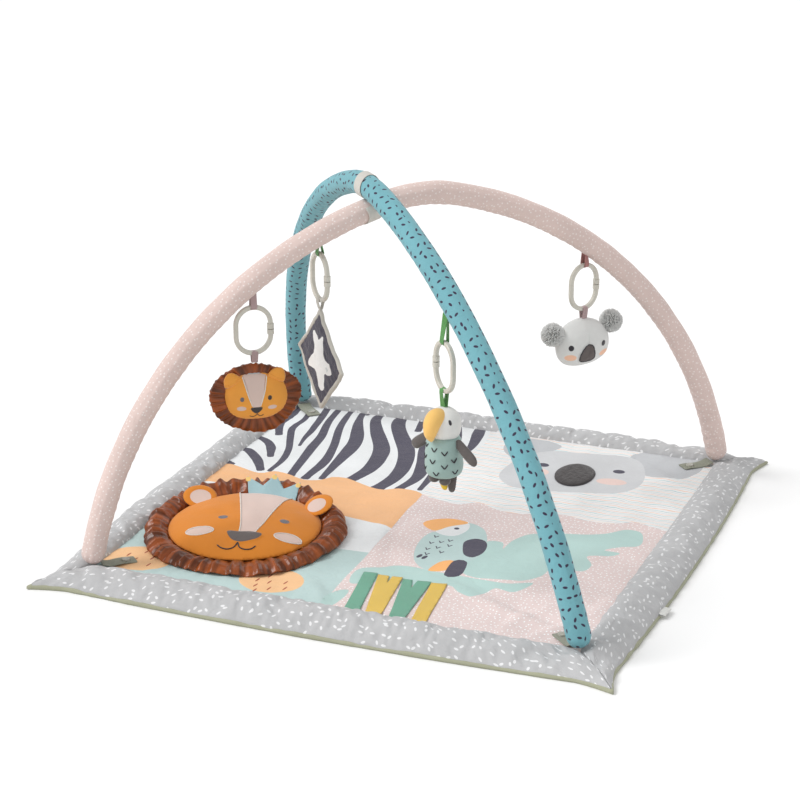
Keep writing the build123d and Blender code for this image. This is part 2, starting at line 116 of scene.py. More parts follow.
def ellipse(x, y, half_w, half_h, turn=0.0, count=28):
    """Points round an ellipse, turned by some degrees."""
    a = np.arange(count) * 2 * pi / count
    u, v = half_w * np.cos(a), half_h * np.sin(a)
    c, s = cos(radians(turn)), sin(radians(turn))
    return np.stack([x + u * c - v * s, y + u * s + v * c], -1)


# ------------------------------------------------------------------ materials
def blank(name, colour, rough, sheen=0.0, specular=0.4):
    """A new material, its node tree and its shader."""
    made = bpy.data.materials.new(name)
    made.use_nodes = True
    tree = made.node_tree
    shader = tree.nodes["Principled BSDF"]
    shader.inputs["Base Color"].default_value = colour
    shader.inputs["Roughness"].default_value = rough
    shader.inputs["Sheen Weight"].default_value = sheen
    shader.inputs["Sheen Roughness"].default_value = 0.4
    shader.inputs["Specular IOR Level"].default_value = specular
    return made, tree, shader


def add(tree, kind, sockets=None, **settings):
    """A shader node; a socket value is a number, a colour or another node's output."""
    made = tree.nodes.new("ShaderNode" + kind)
    for key, value in settings.items():
        setattr(made, key, value)
    for key, value in (sockets or {}).items():
        if isinstance(value, bpy.types.NodeSocket):
            tree.links.new(value, made.inputs[key])
        else:
            made.inputs[key].default_value = value
    return made


def maths(tree, operation, a, b=0.0, clamp=False):
    """Result of a Math node."""
    return add(tree, "Math", {0: a, 1: b}, operation=operation, use_clamp=clamp).outputs[0]


def vectors(tree, operation, a, b):
    """Result of a Vector Math node."""
    return add(tree, "VectorMath", {0: a, 1: b}, operation=operation).outputs[0]


def noise(tree, where, scale, detail, **more):
    """Height of a noise texture."""
    return add(tree, "TexNoise", {"Vector": where, "Scale": scale, "Detail": detail, **more}).outputs["Fac"]


def ranged(tree, value, low, high, to_low, to_high):
    """A value brought from one range to another."""
    return add(tree, "MapRange", {0: value, 1: low, 2: high, 3: to_low, 4: to_high}).outputs[0]


def grey_of(tree, tone):
    """The grey of a tone."""
    return add(tree, "CombineColor", {0: tone, 1: tone, 2: tone}).outputs[0]


def mixed(tree, factor, a, b, blend="MIX"):
    """Two colours mixed."""
    return add(tree, "Mix", {0: factor, 6: a, 7: b}, data_type="RGBA", blend_type=blend).outputs[2]


def fabric_mm(tree):
    """Fabric coordinates in mm."""
    where = add(tree, "UVMap", uv_map="cloth").outputs[0]
    return add(tree, "VectorMath", {0: where, "Scale": 1000.0}, operation="SCALE").outputs[0]


def scattered(tree, where, cell, half_l, half_w, shift=0.0, order=0.8):
    """Mask of short marks, about one in each cell, each turned its own way."""
    moved = vectors(tree, "ADD", where, (shift, shift * 0.7, 0))
    voronoi = add(tree, "TexVoronoi", {"Vector": moved, "Scale": 1 / cell, "Randomness": order},
                  voronoi_dimensions="2D")
    away = vectors(tree, "SUBTRACT", moved, voronoi.outputs["Position"])
    red = add(tree, "SeparateColor", {0: voronoi.outputs["Color"]}).outputs[0]
    turn = maths(tree, "MULTIPLY", red, pi)
    turned = add(tree, "VectorRotate", {"Vector": away, "Angle": turn}, rotation_type="Z_AXIS").outputs[0]
    shape = vectors(tree, "MULTIPLY", turned, (1 / half_l, 1 / half_w, 0))
    size = add(tree, "VectorMath", {0: shape}, operation="LENGTH").outputs["Value"]
    return maths(tree, "MULTIPLY", maths(tree, "SUBTRACT", 1.0, size), 5.0, clamp=True)


def thread_height(tree, where, kind, pitch):
    """Height of the threads, 0 to 1."""
    parts = add(tree, "SeparateXYZ", {0: where})
    k = 2 * pi / pitch
    across = maths(tree, "SINE", maths(tree, "MULTIPLY", parts.outputs[0], k))
    along = maths(tree, "SINE", maths(tree, "MULTIPLY", parts.outputs[1], k))
    if kind == "rib":
        return maths(tree, "ABSOLUTE", along)
    if kind == "plain":
        return maths(tree, "ADD", maths(tree, "MULTIPLY", across, maths(tree, "MULTIPLY", along, 0.5)), 0.5)
    # Satin: long stretched noise for the pleats, which cloth() also uses to paint shade and highlight into the
    # colour.
    if kind == "satin":
        return noise(tree, vectors(tree, "MULTIPLY", where, (1.0, 0.13, 1)), 0.1, 2.0)
    return noise(tree, where, 1 / pitch, 4.0)


def cloth(name, colour, kind="plain", pitch=0.8, rough=0.85, sheen=0.2, marks=(), thread=0.25, crease=0.5,
          crease_size=22.0, stripes=None, order=0.8):
    """Fabric with threads, soft creases, faded patches and scattered printed marks; satin also gets painted shade in
    its pleat hollows and painted highlight on the pleat ridges.
    """
    made, tree, shader = blank(name, colour, rough, sheen)
    where = fabric_mm(tree)
    threads = thread_height(tree, where, kind, pitch)
    painted = mixed(tree, 0.0, colour, colour)
    if stripes:
        painted = striped(tree, where, painted, stripes)
    for ink, cell, half_l, half_w, shift in marks:
        painted = mixed(tree, scattered(tree, where, cell, half_l, half_w, shift, order), painted, ink)
    fade = noise(tree, where, 0.012, 5.0)
    tone = ranged(tree, fade, 0.3, 0.7, 0.93, 1.05)
    satin = kind == "satin"
    # For satin the pleat pattern darkens and lightens the colour strongly: painted shade in the pleat hollows,
    # painted highlight on the ridges. Other weaves get only a slight thread tone.
    dark, light = (0.4, 1.35) if satin else (0.9, 1.06)
    low, high = (0.36, 0.64) if satin else (0.0, 1.0)
    grey = grey_of(tree, maths(tree, "MULTIPLY", tone, ranged(tree, threads, low, high, dark, light)))
    tree.links.new(mixed(tree, 1.0, painted, grey, "MULTIPLY"), shader.inputs["Base Color"])
    worn = ranged(tree, fade, 0.2, 0.8, max(rough - 0.08, 0.05), min(rough + 0.08, 1.0))
    tree.links.new(worn, shader.inputs["Roughness"])
    folds = noise(tree, where, 1 / crease_size, 3.0, Distortion=0.8)
    soft = add(tree, "Bump", {"Height": folds, "Strength": crease, "Distance": 0.003})
    fine = add(tree, "Bump", {"Height": threads, "Strength": thread, "Distance": 0.004 if satin else 0.0004,
                              "Normal": soft.outputs[0]})
    tree.links.new(fine.outputs[0], shader.inputs["Normal"])
    return made


def striped(tree, where, painted, stripes):
    """Fine wavy coloured lines on the base colour."""
    parts = add(tree, "SeparateXYZ", {0: where})
    wave = noise(tree, where, 0.02, 2.0)
    lifted = maths(tree, "ADD", parts.outputs[1], maths(tree, "MULTIPLY", wave, 22.0))
    for number, (ink, pitch, width) in enumerate(stripes):
        place = maths(tree, "ADD", lifted, number * pitch / len(stripes))
        level = maths(tree, "DIVIDE", place, pitch)
        near = maths(tree, "ABSOLUTE", maths(tree, "SUBTRACT", maths(tree, "FRACT", level), 0.5))
        line = maths(tree, "MULTIPLY", maths(tree, "SUBTRACT", width / pitch, near), 20.0, clamp=True)
        breaks = noise(tree, vectors(tree, "MULTIPLY", where, (0.04, 0.5, 1)), 0.35, 1.0)
        strength = ranged(tree, breaks, 0.4, 0.6, 0.6, 1.0)
        painted = mixed(tree, maths(tree, "MULTIPLY", line, strength), painted, ink)
    return painted


def plastic(name, colour, rough=0.35, clear=0.0, scale=60.0):
    """Moulded plastic with faint wear."""
    made, tree, shader = blank(name, colour, rough, 0.0, 0.5)
    where = add(tree, "TexCoord").outputs["Object"]
    wear = noise(tree, where, scale, 6.0)
    tree.links.new(ranged(tree, wear, 0.3, 0.7, rough - 0.07, rough + 0.1), shader.inputs["Roughness"])
    grey = grey_of(tree, ranged(tree, wear, 0.3, 0.7, 0.95, 1.03))
    tree.links.new(mixed(tree, 1.0, colour, grey, "MULTIPLY"), shader.inputs["Base Color"])
    grain = noise(tree, where, 2500.0, 2.0)
    fine = add(tree, "Bump", {"Height": grain, "Strength": 0.08, "Distance": 0.0002})
    tree.links.new(fine.outputs[0], shader.inputs["Normal"])
    shader.inputs["Transmission Weight"].default_value = clear
    return made


WHITE_INK = rgb(246, 246, 246)
SOFT_INK = rgb(228, 228, 229)
PALE_PINK = rgb(238, 226, 222)
PLUM = rgb(58, 50, 72)

border_cloth = cloth("border_cloth", rgb(186, 186, 187), marks=(
    (SOFT_INK, 17.0, 3.8, 2.0, 0.0), (SOFT_INK, 37.0, 3.6, 1.9, 41.0)), crease=0.8, crease_size=20.0)
backing_cloth = cloth("backing_cloth", rgb(166, 167, 143), pitch=1.0)
pink_print = cloth("pink_print", rgb(224, 206, 203), marks=((WHITE_INK, 7.5, 1.45, 1.2, 0.0),))
white_print = cloth("white_print", rgb(229, 231, 232))
stripe_print = cloth("stripe_print", rgb(238, 238, 237), stripes=(
    (rgb(238, 184, 150), 17.0, 1.15), (rgb(150, 192, 200), 17.0, 1.15), (rgb(194, 190, 196), 17.0, 1.0)))
aqua_print = cloth("aqua_print", rgb(186, 208, 206))
sand_print = cloth("sand_print", rgb(238, 184, 134))
peach_print = cloth("peach_print", rgb(244, 196, 146))
slate_print = cloth("slate_print", rgb(76, 73, 88))
red_ink = cloth("red_ink", rgb(172, 84, 60))
koala_print = cloth("koala_print", rgb(205, 206, 208))
koala_ear_print = cloth("koala_ear_print", rgb(190, 192, 195))
blush_print = cloth("blush_print", rgb(232, 206, 198))
orange_print = cloth("orange_print", rgb(246, 180, 112))
feather_print = cloth("feather_print", rgb(180, 208, 203))

orange_velour = cloth("orange_velour", rgb(216, 132, 42), "pile", 0.5, 0.9, 0.2, thread=0.35, crease=0.25,
                      crease_size=26.0)
toy_orange = cloth("toy_orange", rgb(236, 160, 68), "pile", 0.5, 0.9, 0.4, thread=0.35, crease=0.3)
blush_velour = cloth("blush_velour", rgb(217, 193, 183), "pile", 0.5, 0.9, 0.3, thread=0.3, crease=0.2)
dark_plush = cloth("dark_plush", rgb(70, 66, 66), "pile", 1.1, 0.95, 0.3, thread=0.9, crease_size=5.0)
# Satin kind: its pleats get painted shade and painted highlight in the colour.
brown_satin = cloth("brown_satin", rgb(134, 66, 24), "satin", 1.0, 0.3, 0.0, thread=0.12, crease=0.35,
                    crease_size=16.0)
grey_felt = cloth("grey_felt", rgb(160, 190, 196), "pile", 0.9, 0.95, 0.3, thread=0.6)
yellow_felt = cloth("yellow_felt", rgb(236, 200, 124), "pile", 0.9, 0.95, 0.3, thread=0.5)
white_thread = cloth("white_thread", rgb(240, 236, 228), "rib", 0.9, 0.6, 0.2, thread=0.6, crease=0.0)
grey_thread = cloth("grey_thread", rgb(112, 112, 120), "rib", 0.9, 0.5, 0.2, thread=0.6, crease=0.0)
dark_thread = cloth("dark_thread", rgb(52, 48, 54), "rib", 0.9, 0.5, 0.2, thread=0.6, crease=0.0)

pink_sleeve_cloth = cloth("pink_sleeve_cloth", rgb(221, 199, 192), marks=(
    (PALE_PINK, 8.0, 1.5, 1.25, 0.0),), crease=0.5, crease_size=12.0)
blue_sleeve_cloth = cloth("blue_sleeve_cloth", rgb(116, 173, 183), marks=(
    (PLUM, 14.5, 3.9, 2.0, 0.0),), crease=0.5, crease_size=12.0, order=0.45)
strap_webbing = cloth("strap_webbing", rgb(208, 204, 196), "plain", 2.2, 0.8, 0.2, thread=0.9, crease=0.2)
olive_webbing = cloth("olive_webbing", rgb(148, 150, 134), "rib", 1.6, 0.8, 0.2, thread=0.8, crease=0.3)
green_ribbon = cloth("green_ribbon", rgb(110, 172, 146), "rib", 1.5, 0.6, 0.15, thread=0.7, crease=0.3)
yellow_ribbon = cloth("yellow_ribbon", rgb(232, 194, 84), "rib", 1.5, 0.6, 0.15, thread=0.7, crease=0.3)
mauve_ribbon = cloth("mauve_ribbon", rgb(186, 160, 160), "rib", 1.3, 0.6, 0.15, thread=0.7, crease=0.2)
rose_ribbon = cloth("rose_ribbon", rgb(176, 120, 116), "rib", 1.3, 0.6, 0.15, thread=0.7, crease=0.2)
leaf_ribbon = cloth("leaf_ribbon", rgb(92, 156, 84), "rib", 1.3, 0.6, 0.15, thread=0.7, crease=0.2)
greige_ribbon = cloth("greige_ribbon", rgb(206, 202, 192), "rib", 1.3, 0.6, 0.15, thread=0.7, crease=0.2)
tag_cloth = cloth("tag_cloth", rgb(226, 226, 222), "rib", 0.9, 0.7, 0.1, thread=0.5)

slate_cloth = cloth("slate_cloth", rgb(72, 70, 82), crease=0.5, crease_size=8.0)
star_cloth = cloth("star_cloth", rgb(236, 236, 234), crease=0.5, crease_size=8.0)
star_grey = cloth("star_grey", rgb(206, 210, 208), crease=0.4)
aqua_velour = cloth("aqua_velour", rgb(158, 182, 176), "pile", 0.5, 0.92, 0.4, thread=0.35, crease=0.3)
white_velour = cloth("white_velour", rgb(226, 224, 220), "pile", 0.5, 0.92, 0.4, thread=0.35, crease=0.25)
beak_velour = cloth("beak_velour", rgb(240, 192, 112), "pile", 0.5, 0.9, 0.4, thread=0.35, crease=0.25)
tail_velour = cloth("tail_velour", rgb(236, 196, 62), "pile", 0.5, 0.9, 0.4, thread=0.35, crease=0.25)
grey_velour = cloth("grey_velour", rgb(98, 92, 90), "pile", 0.6, 0.95, 0.45, thread=0.5, crease=0.3)
koala_plush = cloth("koala_plush", rgb(222, 222, 220), "pile", 0.6, 0.95, 0.45, thread=0.5, crease=0.25)
pompom_yarn = cloth("pompom_yarn", rgb(228, 228, 226), "pile", 0.6, 0.95, 0.4, thread=0.5, crease=0.0)
# Darker grey core: painted shade deep among the pompom's strands.
pompom_shade_core = cloth("pompom_shade_core", rgb(160, 159, 157), "pile", 0.8, 0.95, 0.3, thread=0.8)
peach_velour = cloth("peach_velour", rgb(243, 196, 168), "pile", 0.5, 0.9, 0.3, thread=0.3)
nose_velour = cloth("nose_velour", rgb(100, 92, 90), "pile", 0.5, 0.9, 0.4, thread=0.4)
silver_felt = cloth("silver_felt", rgb(190, 196, 198), "pile", 0.5, 0.5, 0.2, thread=0.3)

link_plastic = plastic("link_plastic", rgb(200, 196, 185), 0.24)
stud_plastic = plastic("stud_plastic", rgb(214, 212, 200), 0.15, clear=0.45)
rod_plastic = plastic("rod_plastic", rgb(225, 225, 220))
foam_mat = plastic("foam", rgb(235, 232, 220), 0.9, scale=400.0)


# ------------------------------------------------------------------ meshes
def lattice(rows, wrap=False, caps=False, uv=None):
    """Points, faces and fabric coordinates of a grid of rows; wrap joins each row's ends."""
    rows = np.asarray(rows, float)
    n, m = rows.shape[:2]
    faces, loops = [], []
    for i in range(n - 1):
        for j in range(m if wrap else m - 1):
            k = (j + 1) % m
            faces.append((i * m + j, i * m + k, (i + 1) * m + k, (i + 1) * m + j))
            if uv is not None:
                loops += [uv[i][j], uv[i][j + 1], uv[i + 1][j + 1], uv[i + 1][j]]
    if caps:
        for row, turn in ((0, -1), (n - 1, 1)):
            ring = [row * m + j for j in range(m)][::turn]
            faces.append(tuple(ring))
            if uv is not None:
                loops += [uv[row][j] for j in range(m)][::turn]
    return rows.reshape(-1, 3), faces, loops


def along_uv(rows, wrap=False):
    """Fabric coordinates of a grid of rows from its own lengths, in mm."""
    rows = np.asarray(rows, float)
    if wrap:
        rows = np.concatenate([rows, rows[:, :1]], axis=1)
    across = np.concatenate(
        [np.zeros((len(rows), 1)), np.cumsum(np.linalg.norm(np.diff(rows, axis=1), axis=2), axis=1)], axis=1)
    down = np.concatenate([[0], np.cumsum(np.linalg.norm(np.diff(rows.mean(1), axis=0), axis=1))])
    return np.stack([np.repeat(down[:, None], rows.shape[1], 1), across], -1)


def piece(name, points, faces, materials, body, nodes=(), which=None, uv=None, round_off=0,
          thick=0.0, merge=0.0):
    """One shown mesh, from points in mm, riding on a CAD body."""
    mesh = bpy.data.meshes.new(name)
    mesh.from_pydata((np.asarray(points, float) * MM).tolist(), [], [tuple(int(i) for i in f) for f in faces])
    for material in materials if isinstance(materials, (list, tuple)) else [materials]:
        mesh.materials.append(material)
    if which is not None:
        mesh.polygons.foreach_set("material_index", np.asarray(which, np.int32))
    layer = mesh.uv_layers.new(name="cloth")
    if uv is None or len(uv) == 0:
        flat = np.asarray(points, float)
        spots = np.array([v for f in faces for v in f])
        uv = np.stack([flat[spots, 0], flat[spots, 1] + flat[spots, 2]], -1)
    layer.data.foreach_set("uv", (np.asarray(uv, float) * MM).ravel())
    if merge:
        work = bmesh.new()
        work.from_mesh(mesh)
        bmesh.ops.remove_doubles(work, verts=work.verts, dist=merge * MM)
        bmesh.ops.recalc_face_normals(work, faces=work.faces)
        work.to_mesh(mesh)
        work.free()
    mesh.polygons.foreach_set("use_smooth", [True] * len(mesh.polygons))
    mesh.update()
    made = bpy.data.objects.new(name, mesh)
    scene.collection.objects.link(made)
    if thick:
        shell = made.modifiers.new("thickness", "SOLIDIFY")
        shell.thickness = thick * MM
        shell.offset = 0
    if round_off:
        soft = made.modifiers.new("round", "SUBSURF")
        soft.levels = soft.render_levels = round_off
    if nodes:
        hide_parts(*nodes)
    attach(made, body)
    return made


def outward(points, faces):
    """The faces, all turned outwards."""
    work = bmesh.new()
    spots = [work.verts.new(p) for p in points]
    made = [work.faces.new([spots[i] for i in f]) for f in faces]
    bmesh.ops.recalc_face_normals(work, faces=work.faces)
    work.verts.index_update()
    flipped = [tuple(v.index for v in f.verts) for f in made]
    work.free()
    return flipped


def settled(points, faces, pins, pressure=3.0, grow=0.04, cap=10.0, frames=20, bend=0.4):
    """Points of a closed or flat cloth after a short simulation, with pinned points held still."""
    rest = np.asarray(points, float)
    mesh = bpy.data.meshes.new("draft")
    mesh.from_pydata((rest * MM).tolist(), [], [tuple(int(i) for i in f) for f in faces])
    draft = bpy.data.objects.new("draft", mesh)
    scene.collection.objects.link(draft)
    group = draft.vertex_groups.new(name="pins")
    for weight in np.unique(pins):
        if weight > 0:
            group.add([int(i) for i in np.nonzero(pins == weight)[0]], float(weight), "REPLACE")
    fabric = draft.modifiers.new("fabric", "CLOTH")
    feel = fabric.settings
    feel.quality = 5
    feel.mass = 0.15
    feel.tension_stiffness = feel.compression_stiffness = 12
    feel.shear_stiffness = 4
    feel.bending_stiffness = bend
    feel.use_pressure = pressure > 0
    feel.uniform_pressure_force = pressure
    feel.shrink_min = -grow
    feel.vertex_group_mass = "pins"
    feel.effector_weights.gravity = 0
    fabric.point_cache.frame_start = 1
    fabric.point_cache.frame_end = frames
    for step in range(1, frames + 1):
        scene.frame_set(step)
    graph = bpy.context.evaluated_depsgraph_get()
    done = np.array([v.co for v in draft.evaluated_get(graph).data.vertices]) / MM
    bpy.data.objects.remove(draft)
    bpy.data.meshes.remove(mesh)
    scene.frame_set(1)
    move = done - rest
    size = np.linalg.norm(move, axis=1, keepdims=True)
    return rest + move * np.minimum(1, cap / np.maximum(size, 1e-6))


def at_corners(flat, faces):
    """A value of each point, repeated for each corner of the faces."""
    return flat[np.array([v for f in faces for v in f])]


def finish_numbers(base, prints, top):
    """The finishes used, base first, and each face's number among them."""
    materials = [base]
    for material in prints:
        if material not in materials:
            materials.append(material)
    return materials, [0 if i < 0 else materials.index(prints[i]) for i in top]


def raised_by(flat, faces, top, rises):
    """How far each point stands out, from the rise of the shapes that it lies on."""
    raised = np.zeros(len(flat))
    for face, number in zip(faces, top):
        if number >= 0:
            raised[list(face)] = np.maximum(raised[list(face)], rises[number])
    return raised


def settled_ring(grid, still, **feel):
    """Points, faces and fabric coordinates of a gathered ring, simulated with some of its rows held still."""
    m, n = grid.shape[:2]
    co, faces, _ = lattice(grid, wrap=True)
    faces += [((m - 1) * n + j, (m - 1) * n + (j + 1) % n, (j + 1) % n, j) for j in range(n)]
    pins = np.zeros((m, n))
    pins[still] = 1
    co = settled(co, faces, pins.ravel(), pressure=1.5, bend=0.1, **feel)
    rows = co.reshape(grid.shape).transpose(1, 0, 2)
    rows = np.concatenate([rows, rows[:1]], 0)
    return lattice(rows, wrap=True, uv=along_uv(rows, True))


def cut_sheet(outline, shapes, pitch):
    """Flat triangles inside an outline, cut along the shapes; and each one's topmost shape, or -1."""
    outline = np.asarray(outline, float)
    low, high = outline.min(0), outline.max(0)
    points, loops = [], []
    for loop in [outline, *shapes]:
        x, y = np.asarray(loop, float).T
        if np.dot(x, np.roll(y, -1)) < np.dot(y, np.roll(x, -1)):
            loop = loop[::-1]
        loops.append(list(range(len(points), len(points) + len(loop))))
        points += [tuple(p) for p in loop]
    for j, y in enumerate(np.arange(low[1] + pitch / 2, high[1], pitch * 0.87)):
        for x in np.arange(low[0] + pitch / 2 * (1 + j % 2), high[0], pitch):
            points.append((x, y))
    made = delaunay_2d_cdt([Vector(p) for p in points], [], loops, 1, 1e-4)
    flat, faces, inside = made[0], made[2], made[5]
    used = sorted({i for f in faces for i in f})
    place = {old: new for new, old in enumerate(used)}
    return (
        np.array([flat[i] for i in used]),
        [tuple(place[i] for i in f) for f in faces],
        np.array([max(x) - 1 for x in inside]),
    )


def frame_of(origin, heading):
    """Origin, right, up and front of a hanging piece."""
    a = radians(heading)
    right, up, front = [cos(a), sin(a), 0], [0, 0, 1.0], [sin(a), -cos(a), 0]
    return np.array(origin, float), np.array(right), np.array(up), np.array(front)


def placed(frame_axes, local):
    """Points given as right, up, front, in the row frame."""
    origin, right, up, front = frame_axes
    local = np.asarray(local, float)
    return origin + local[..., 0:1] * right + local[..., 1:2] * up + local[..., 2:3] * front


def reach_of(outline):
    """Share of the way from the centre to the outline, for points on a flat star-shaped piece."""
    outline = np.asarray(outline, float)
    centre = (outline.min(0) + outline.max(0)) / 2
    d = outline - centre
    angle = np.arctan2(d[:, 1], d[:, 0])
    order = np.argsort(angle)
    angle, radius = angle[order], np.linalg.norm(d, axis=1)[order]

    def share(xy):
        e = np.asarray(xy) - centre
        rim = np.interp(np.arctan2(e[:, 1], e[:, 0]), angle, radius, period=2 * pi)
        return np.linalg.norm(e, axis=1) / rim
    return share


def bulge(share, power=2.4, root=0.55):
    """Height of a stuffed piece, from 1 at its centre to 0 at its seam."""
    return np.clip(1 - np.clip(share, 0, 1) ** power, 0, 1) ** root


def thread_line(name, points, radius, material, body, sides=8, dashes=None):
    """Round embroidered line through points in the row frame, in mm; dashes is a stitch length."""
    p = np.asarray(points, float)
    tangent = np.gradient(p, axis=0)
    tangent /= np.maximum(np.linalg.norm(tangent, axis=1, keepdims=True), 1e-9)
    side = np.cross(tangent, np.array([0.31, 0.22, 0.93]))
    side /= np.linalg.norm(side, axis=1, keepdims=True)
    other = np.cross(tangent, side)
    size = np.full(len(p), radius)
    if dashes:
        run = np.concatenate([[0], np.cumsum(np.linalg.norm(np.diff(p, axis=0), axis=1))])
        size = radius * (0.72 + 0.28 * np.abs(np.cos(pi * run / dashes)))
    size[0] *= 0.3
    size[-1] *= 0.3
    a = np.arange(sides) * 2 * pi / sides
    rows = p[:, None] + size[:, None, None] * (
        np.cos(a)[None, :, None] * side[:, None] + np.sin(a)[None, :, None] * other[:, None])
    co, faces, loops = lattice(rows, wrap=True, caps=True, uv=along_uv(rows, True))
    return piece(name, co, faces, material, body, uv=loops)


def dress(node, material):
    """A CAD node in its finish."""
    shown = bpy.data.objects[node]
    shown.data.materials.clear()
    shown.data.materials.append(material)
    return shown


# ------------------------------------------------------------------ mat
_, panel_high, _ = box_mm("centre_panel")
_, mat_high, _ = box_mm("backing_sheet")
INNER, PANEL_TOP = panel_high[0], panel_high[2]
HALF, BACKING_TOP = mat_high[0], mat_high[2]
BORDER_TOP = box_mm("border_front")[1][2]
NECK, NECK_IN, BULGE_IN = 60.0, 14.0, 3.0
pillow_centre = box_mm("pillow_cushion")[2]

# soft folds of the panel: start, end, height and width, in mm
FOLDS = (
    (150, -262, 352, -332, 3.4, 13), (60, -225, 250, -275, 1.6, 14), (255, -368, 300, -250, 2.4, 10),
    (300, -372, 352, -290, 2.6, 9), (345, -300, 372, -180, 2.0, 10), (-378, 40, -150, 20, 1.6, 16),
    (-30, -60, 5, -230, 1.6, 12), (-20, 20, -34, -90, 1.4, 12), (-60, -300, -10, -377, 2.2, 10),
    (250, 330, 372, 250, 1.5, 14), (-200, 377, -160, 280, 1.4, 13), (60, 377, 40, 300, 1.2, 12),
)


def panel_height(x, y):
    """Height of the quilted panel at points of the mat, in mm."""
    x, y = np.asarray(x, float), np.asarray(y, float)
    to_side = np.stack([INNER - x, INNER + x, INNER - y, INNER + y])
    along = np.stack([y, y, x, x])
    edge = np.clip(to_side.min(0), 0, None)
    height = PANEL_TOP - 1.0 + 1.8 * (1 - np.exp(-edge / 14))
    for number in range(4):
        d, s = np.clip(to_side[number], 0, None), along[number]
        wave = swell(s, 0 * s + 37 * number, 46, 11 + number, 3)
        height = height + 2.0 * wave * np.exp(-d / 26) * (1 - np.exp(-d / 5))
    height = height + 0.7 * swell(x, y, 150, 5, 3)
    for x0, y0, x1, y1, rise, width in FOLDS:
        length = math.hypot(x1 - x0, y1 - y0)
        ux, uy = (x1 - x0) / length, (y1 - y0) / length
        t = ((x - x0) * ux + (y - y0) * uy) / length
        off = (x - x0) * -uy + (y - y0) * ux + 5 * np.sin(3.4 * t + x0)
        taper = np.clip(np.sin(pi * np.clip(t, 0, 1)), 0, 1) ** 0.6
        beside = 0.5 * np.exp(-((off - 1.6 * width) / width) ** 2)
        height = height + 1.6 * taper * rise * (np.exp(-(off / width) ** 2) - beside)
    return np.maximum(height, PANEL_TOP - 1.2)


def stripe_outline(points, widths):
    """Tapered band round a centre line."""
    line = smooth_line(points, 12)
    t = np.linspace(0, 1, len(line))
    wide = np.interp(t, np.linspace(0, 1, len(widths)), widths) / 2
    tangent = np.gradient(line, axis=0)
    tangent /= np.linalg.norm(tangent, axis=1, keepdims=True)
    normal = np.stack([-tangent[:, 1], tangent[:, 0]], -1)
    return smooth_loop(np.vstack([line + normal * wide[:, None], (line - normal * wide[:, None])[::-1]]), 6)


E = 384.0  # past the panel's edge, so that a printed area runs under the border
ZEBRA_LOW = [(-398, 58), (-391, 68), (-372, 74), (-347, 66), (-311, 56), (-290, 71), (-264, 68),
             (-228, 55), (-201, 64), (-190, 80), (-169, 86), (-145, 78), (-113, 64), (-91, 62),
             (-70, 75), (-40, 75), (-25, 66)]
ZEBRA_SIDE = [(-29, 135), (-18, 256), (-9, 318), (-22, E)]
STRIPE_LOW = [(6, 55), (43, 49), (72, 66), (109, 51), (144, 48), (178, 60), (213, 69), (254, 61), (294, 65),
              (326, 83), (358, 74), (E, 70)]
STRIPES = (  # zebra stripes: centre line and widths, from the back forwards
    ([(-194, 428), (-177, 341), (-124, 244), (-101, 178), (-94, 117), (-104, 58)], (14, 26, 30, 27, 22)),
    ([(-226, 425), (-226, 362), (-205, 309),
      (-166, 237), (-151, 186), (-147, 131), (-160, 70)], (10, 18, 26, 30, 26, 18)),
    ([(-267, 419), (-251, 341), (-220, 254),
      (-211, 199), (-207, 134), (-203, 66)], (8, 13, 24, 26, 18, 10)),
    ([(-287, 421), (-279, 351), (-265, 285),
      (-242, 206), (-228, 135), (-230, 58)], (8, 12, 14, 15, 18, 14)),
    ([(-311, 417), (-299, 322), (-282, 248),
      (-274, 183), (-263, 111), (-257, 60)], (10, 12, 15, 18, 16, 14)),
    ([(-335, 412), (-319, 334), (-308, 267), (-305, 228), (-298, 190)], (12, 14, 12, 5)),
    ([(-355, 372), (-343, 314), (-343, 263),
      (-328, 219), (-308, 168), (-297, 116), (-298, 68)], (8, 11, 13, 12, 12, 8)),
    ([(-384, 387), (-374, 332), (-374, 280), (-352, 224)], (16, 17, 16, 12)),
    ([(-395, 290), (-386, 250)], (14, 12)),
    ([(-402, 213), (-372, 201), (-344, 173), (-322, 125)], (10, 15, 17, 10)),
    ([(-402, 148), (-373, 142), (-339, 108), (-312, 66)], (12, 17, 18, 12)),
    ([(-402, 70), (-389, 84), (-366, 74)], (14, 16, 8)),
    ([(-156, 433), (-147, 384), (-136, 328)], (15, 15, 11)),
    ([(-250, 426), (-248, 395), (-250, 372)], (10, 8, 6)),
    ([(-130, 400), (-104, 292), (-71, 189), (-60, 127), (-70, 70)], (10, 18, 26, 24, 14)),
    ([(-92, 410), (-60, 310), (-44, 220), (-40, 150), (-36, 80)], (12, 20, 22, 16, 8)),
    ([(-44, 400), (-30, 334), (-24, 284), (-28, 250)], (18, 22, 16, 8)),
)
KOALA_HEAD = [(66, 180), (60, 215), (66, 262), (80, 300), (108, 326), (149, 334), (196, 343), (244, 345),
              (270, 318), (289, 262), (286, 215), (262, 184), (218, 170), (160, 156), (100, 150)]
KOALA_EAR_R = [(240, 345), (252, 378), (293, 399), (334, 398), (360, 372), (364, 326), (346, 290),
               (316, 275), (284, 278), (262, 305)]
KOALA_EAR_L = [(112, 330), (118, 352), (98, 368), (60, 370), (32, 350), (26, 316), (40, 288), (66, 270),
               (90, 284)]
FEATHER = [(133, -80), (159, -68), (167, -90), (170, -60), (184, -27), (205, -13), (236, 0), (270, 9),
           (298, 26), (320, 50), (343, 49), (354, 28), (356, -2), (333, -17), (312, -38), (337, -40),
           (326, -56), (295, -70), (310, -97), (305, -124), (277, -127), (258, -136),
           (253, -163), (233, -188), (213, -193), (187, -199),
           (159, -202), (134, -180)]
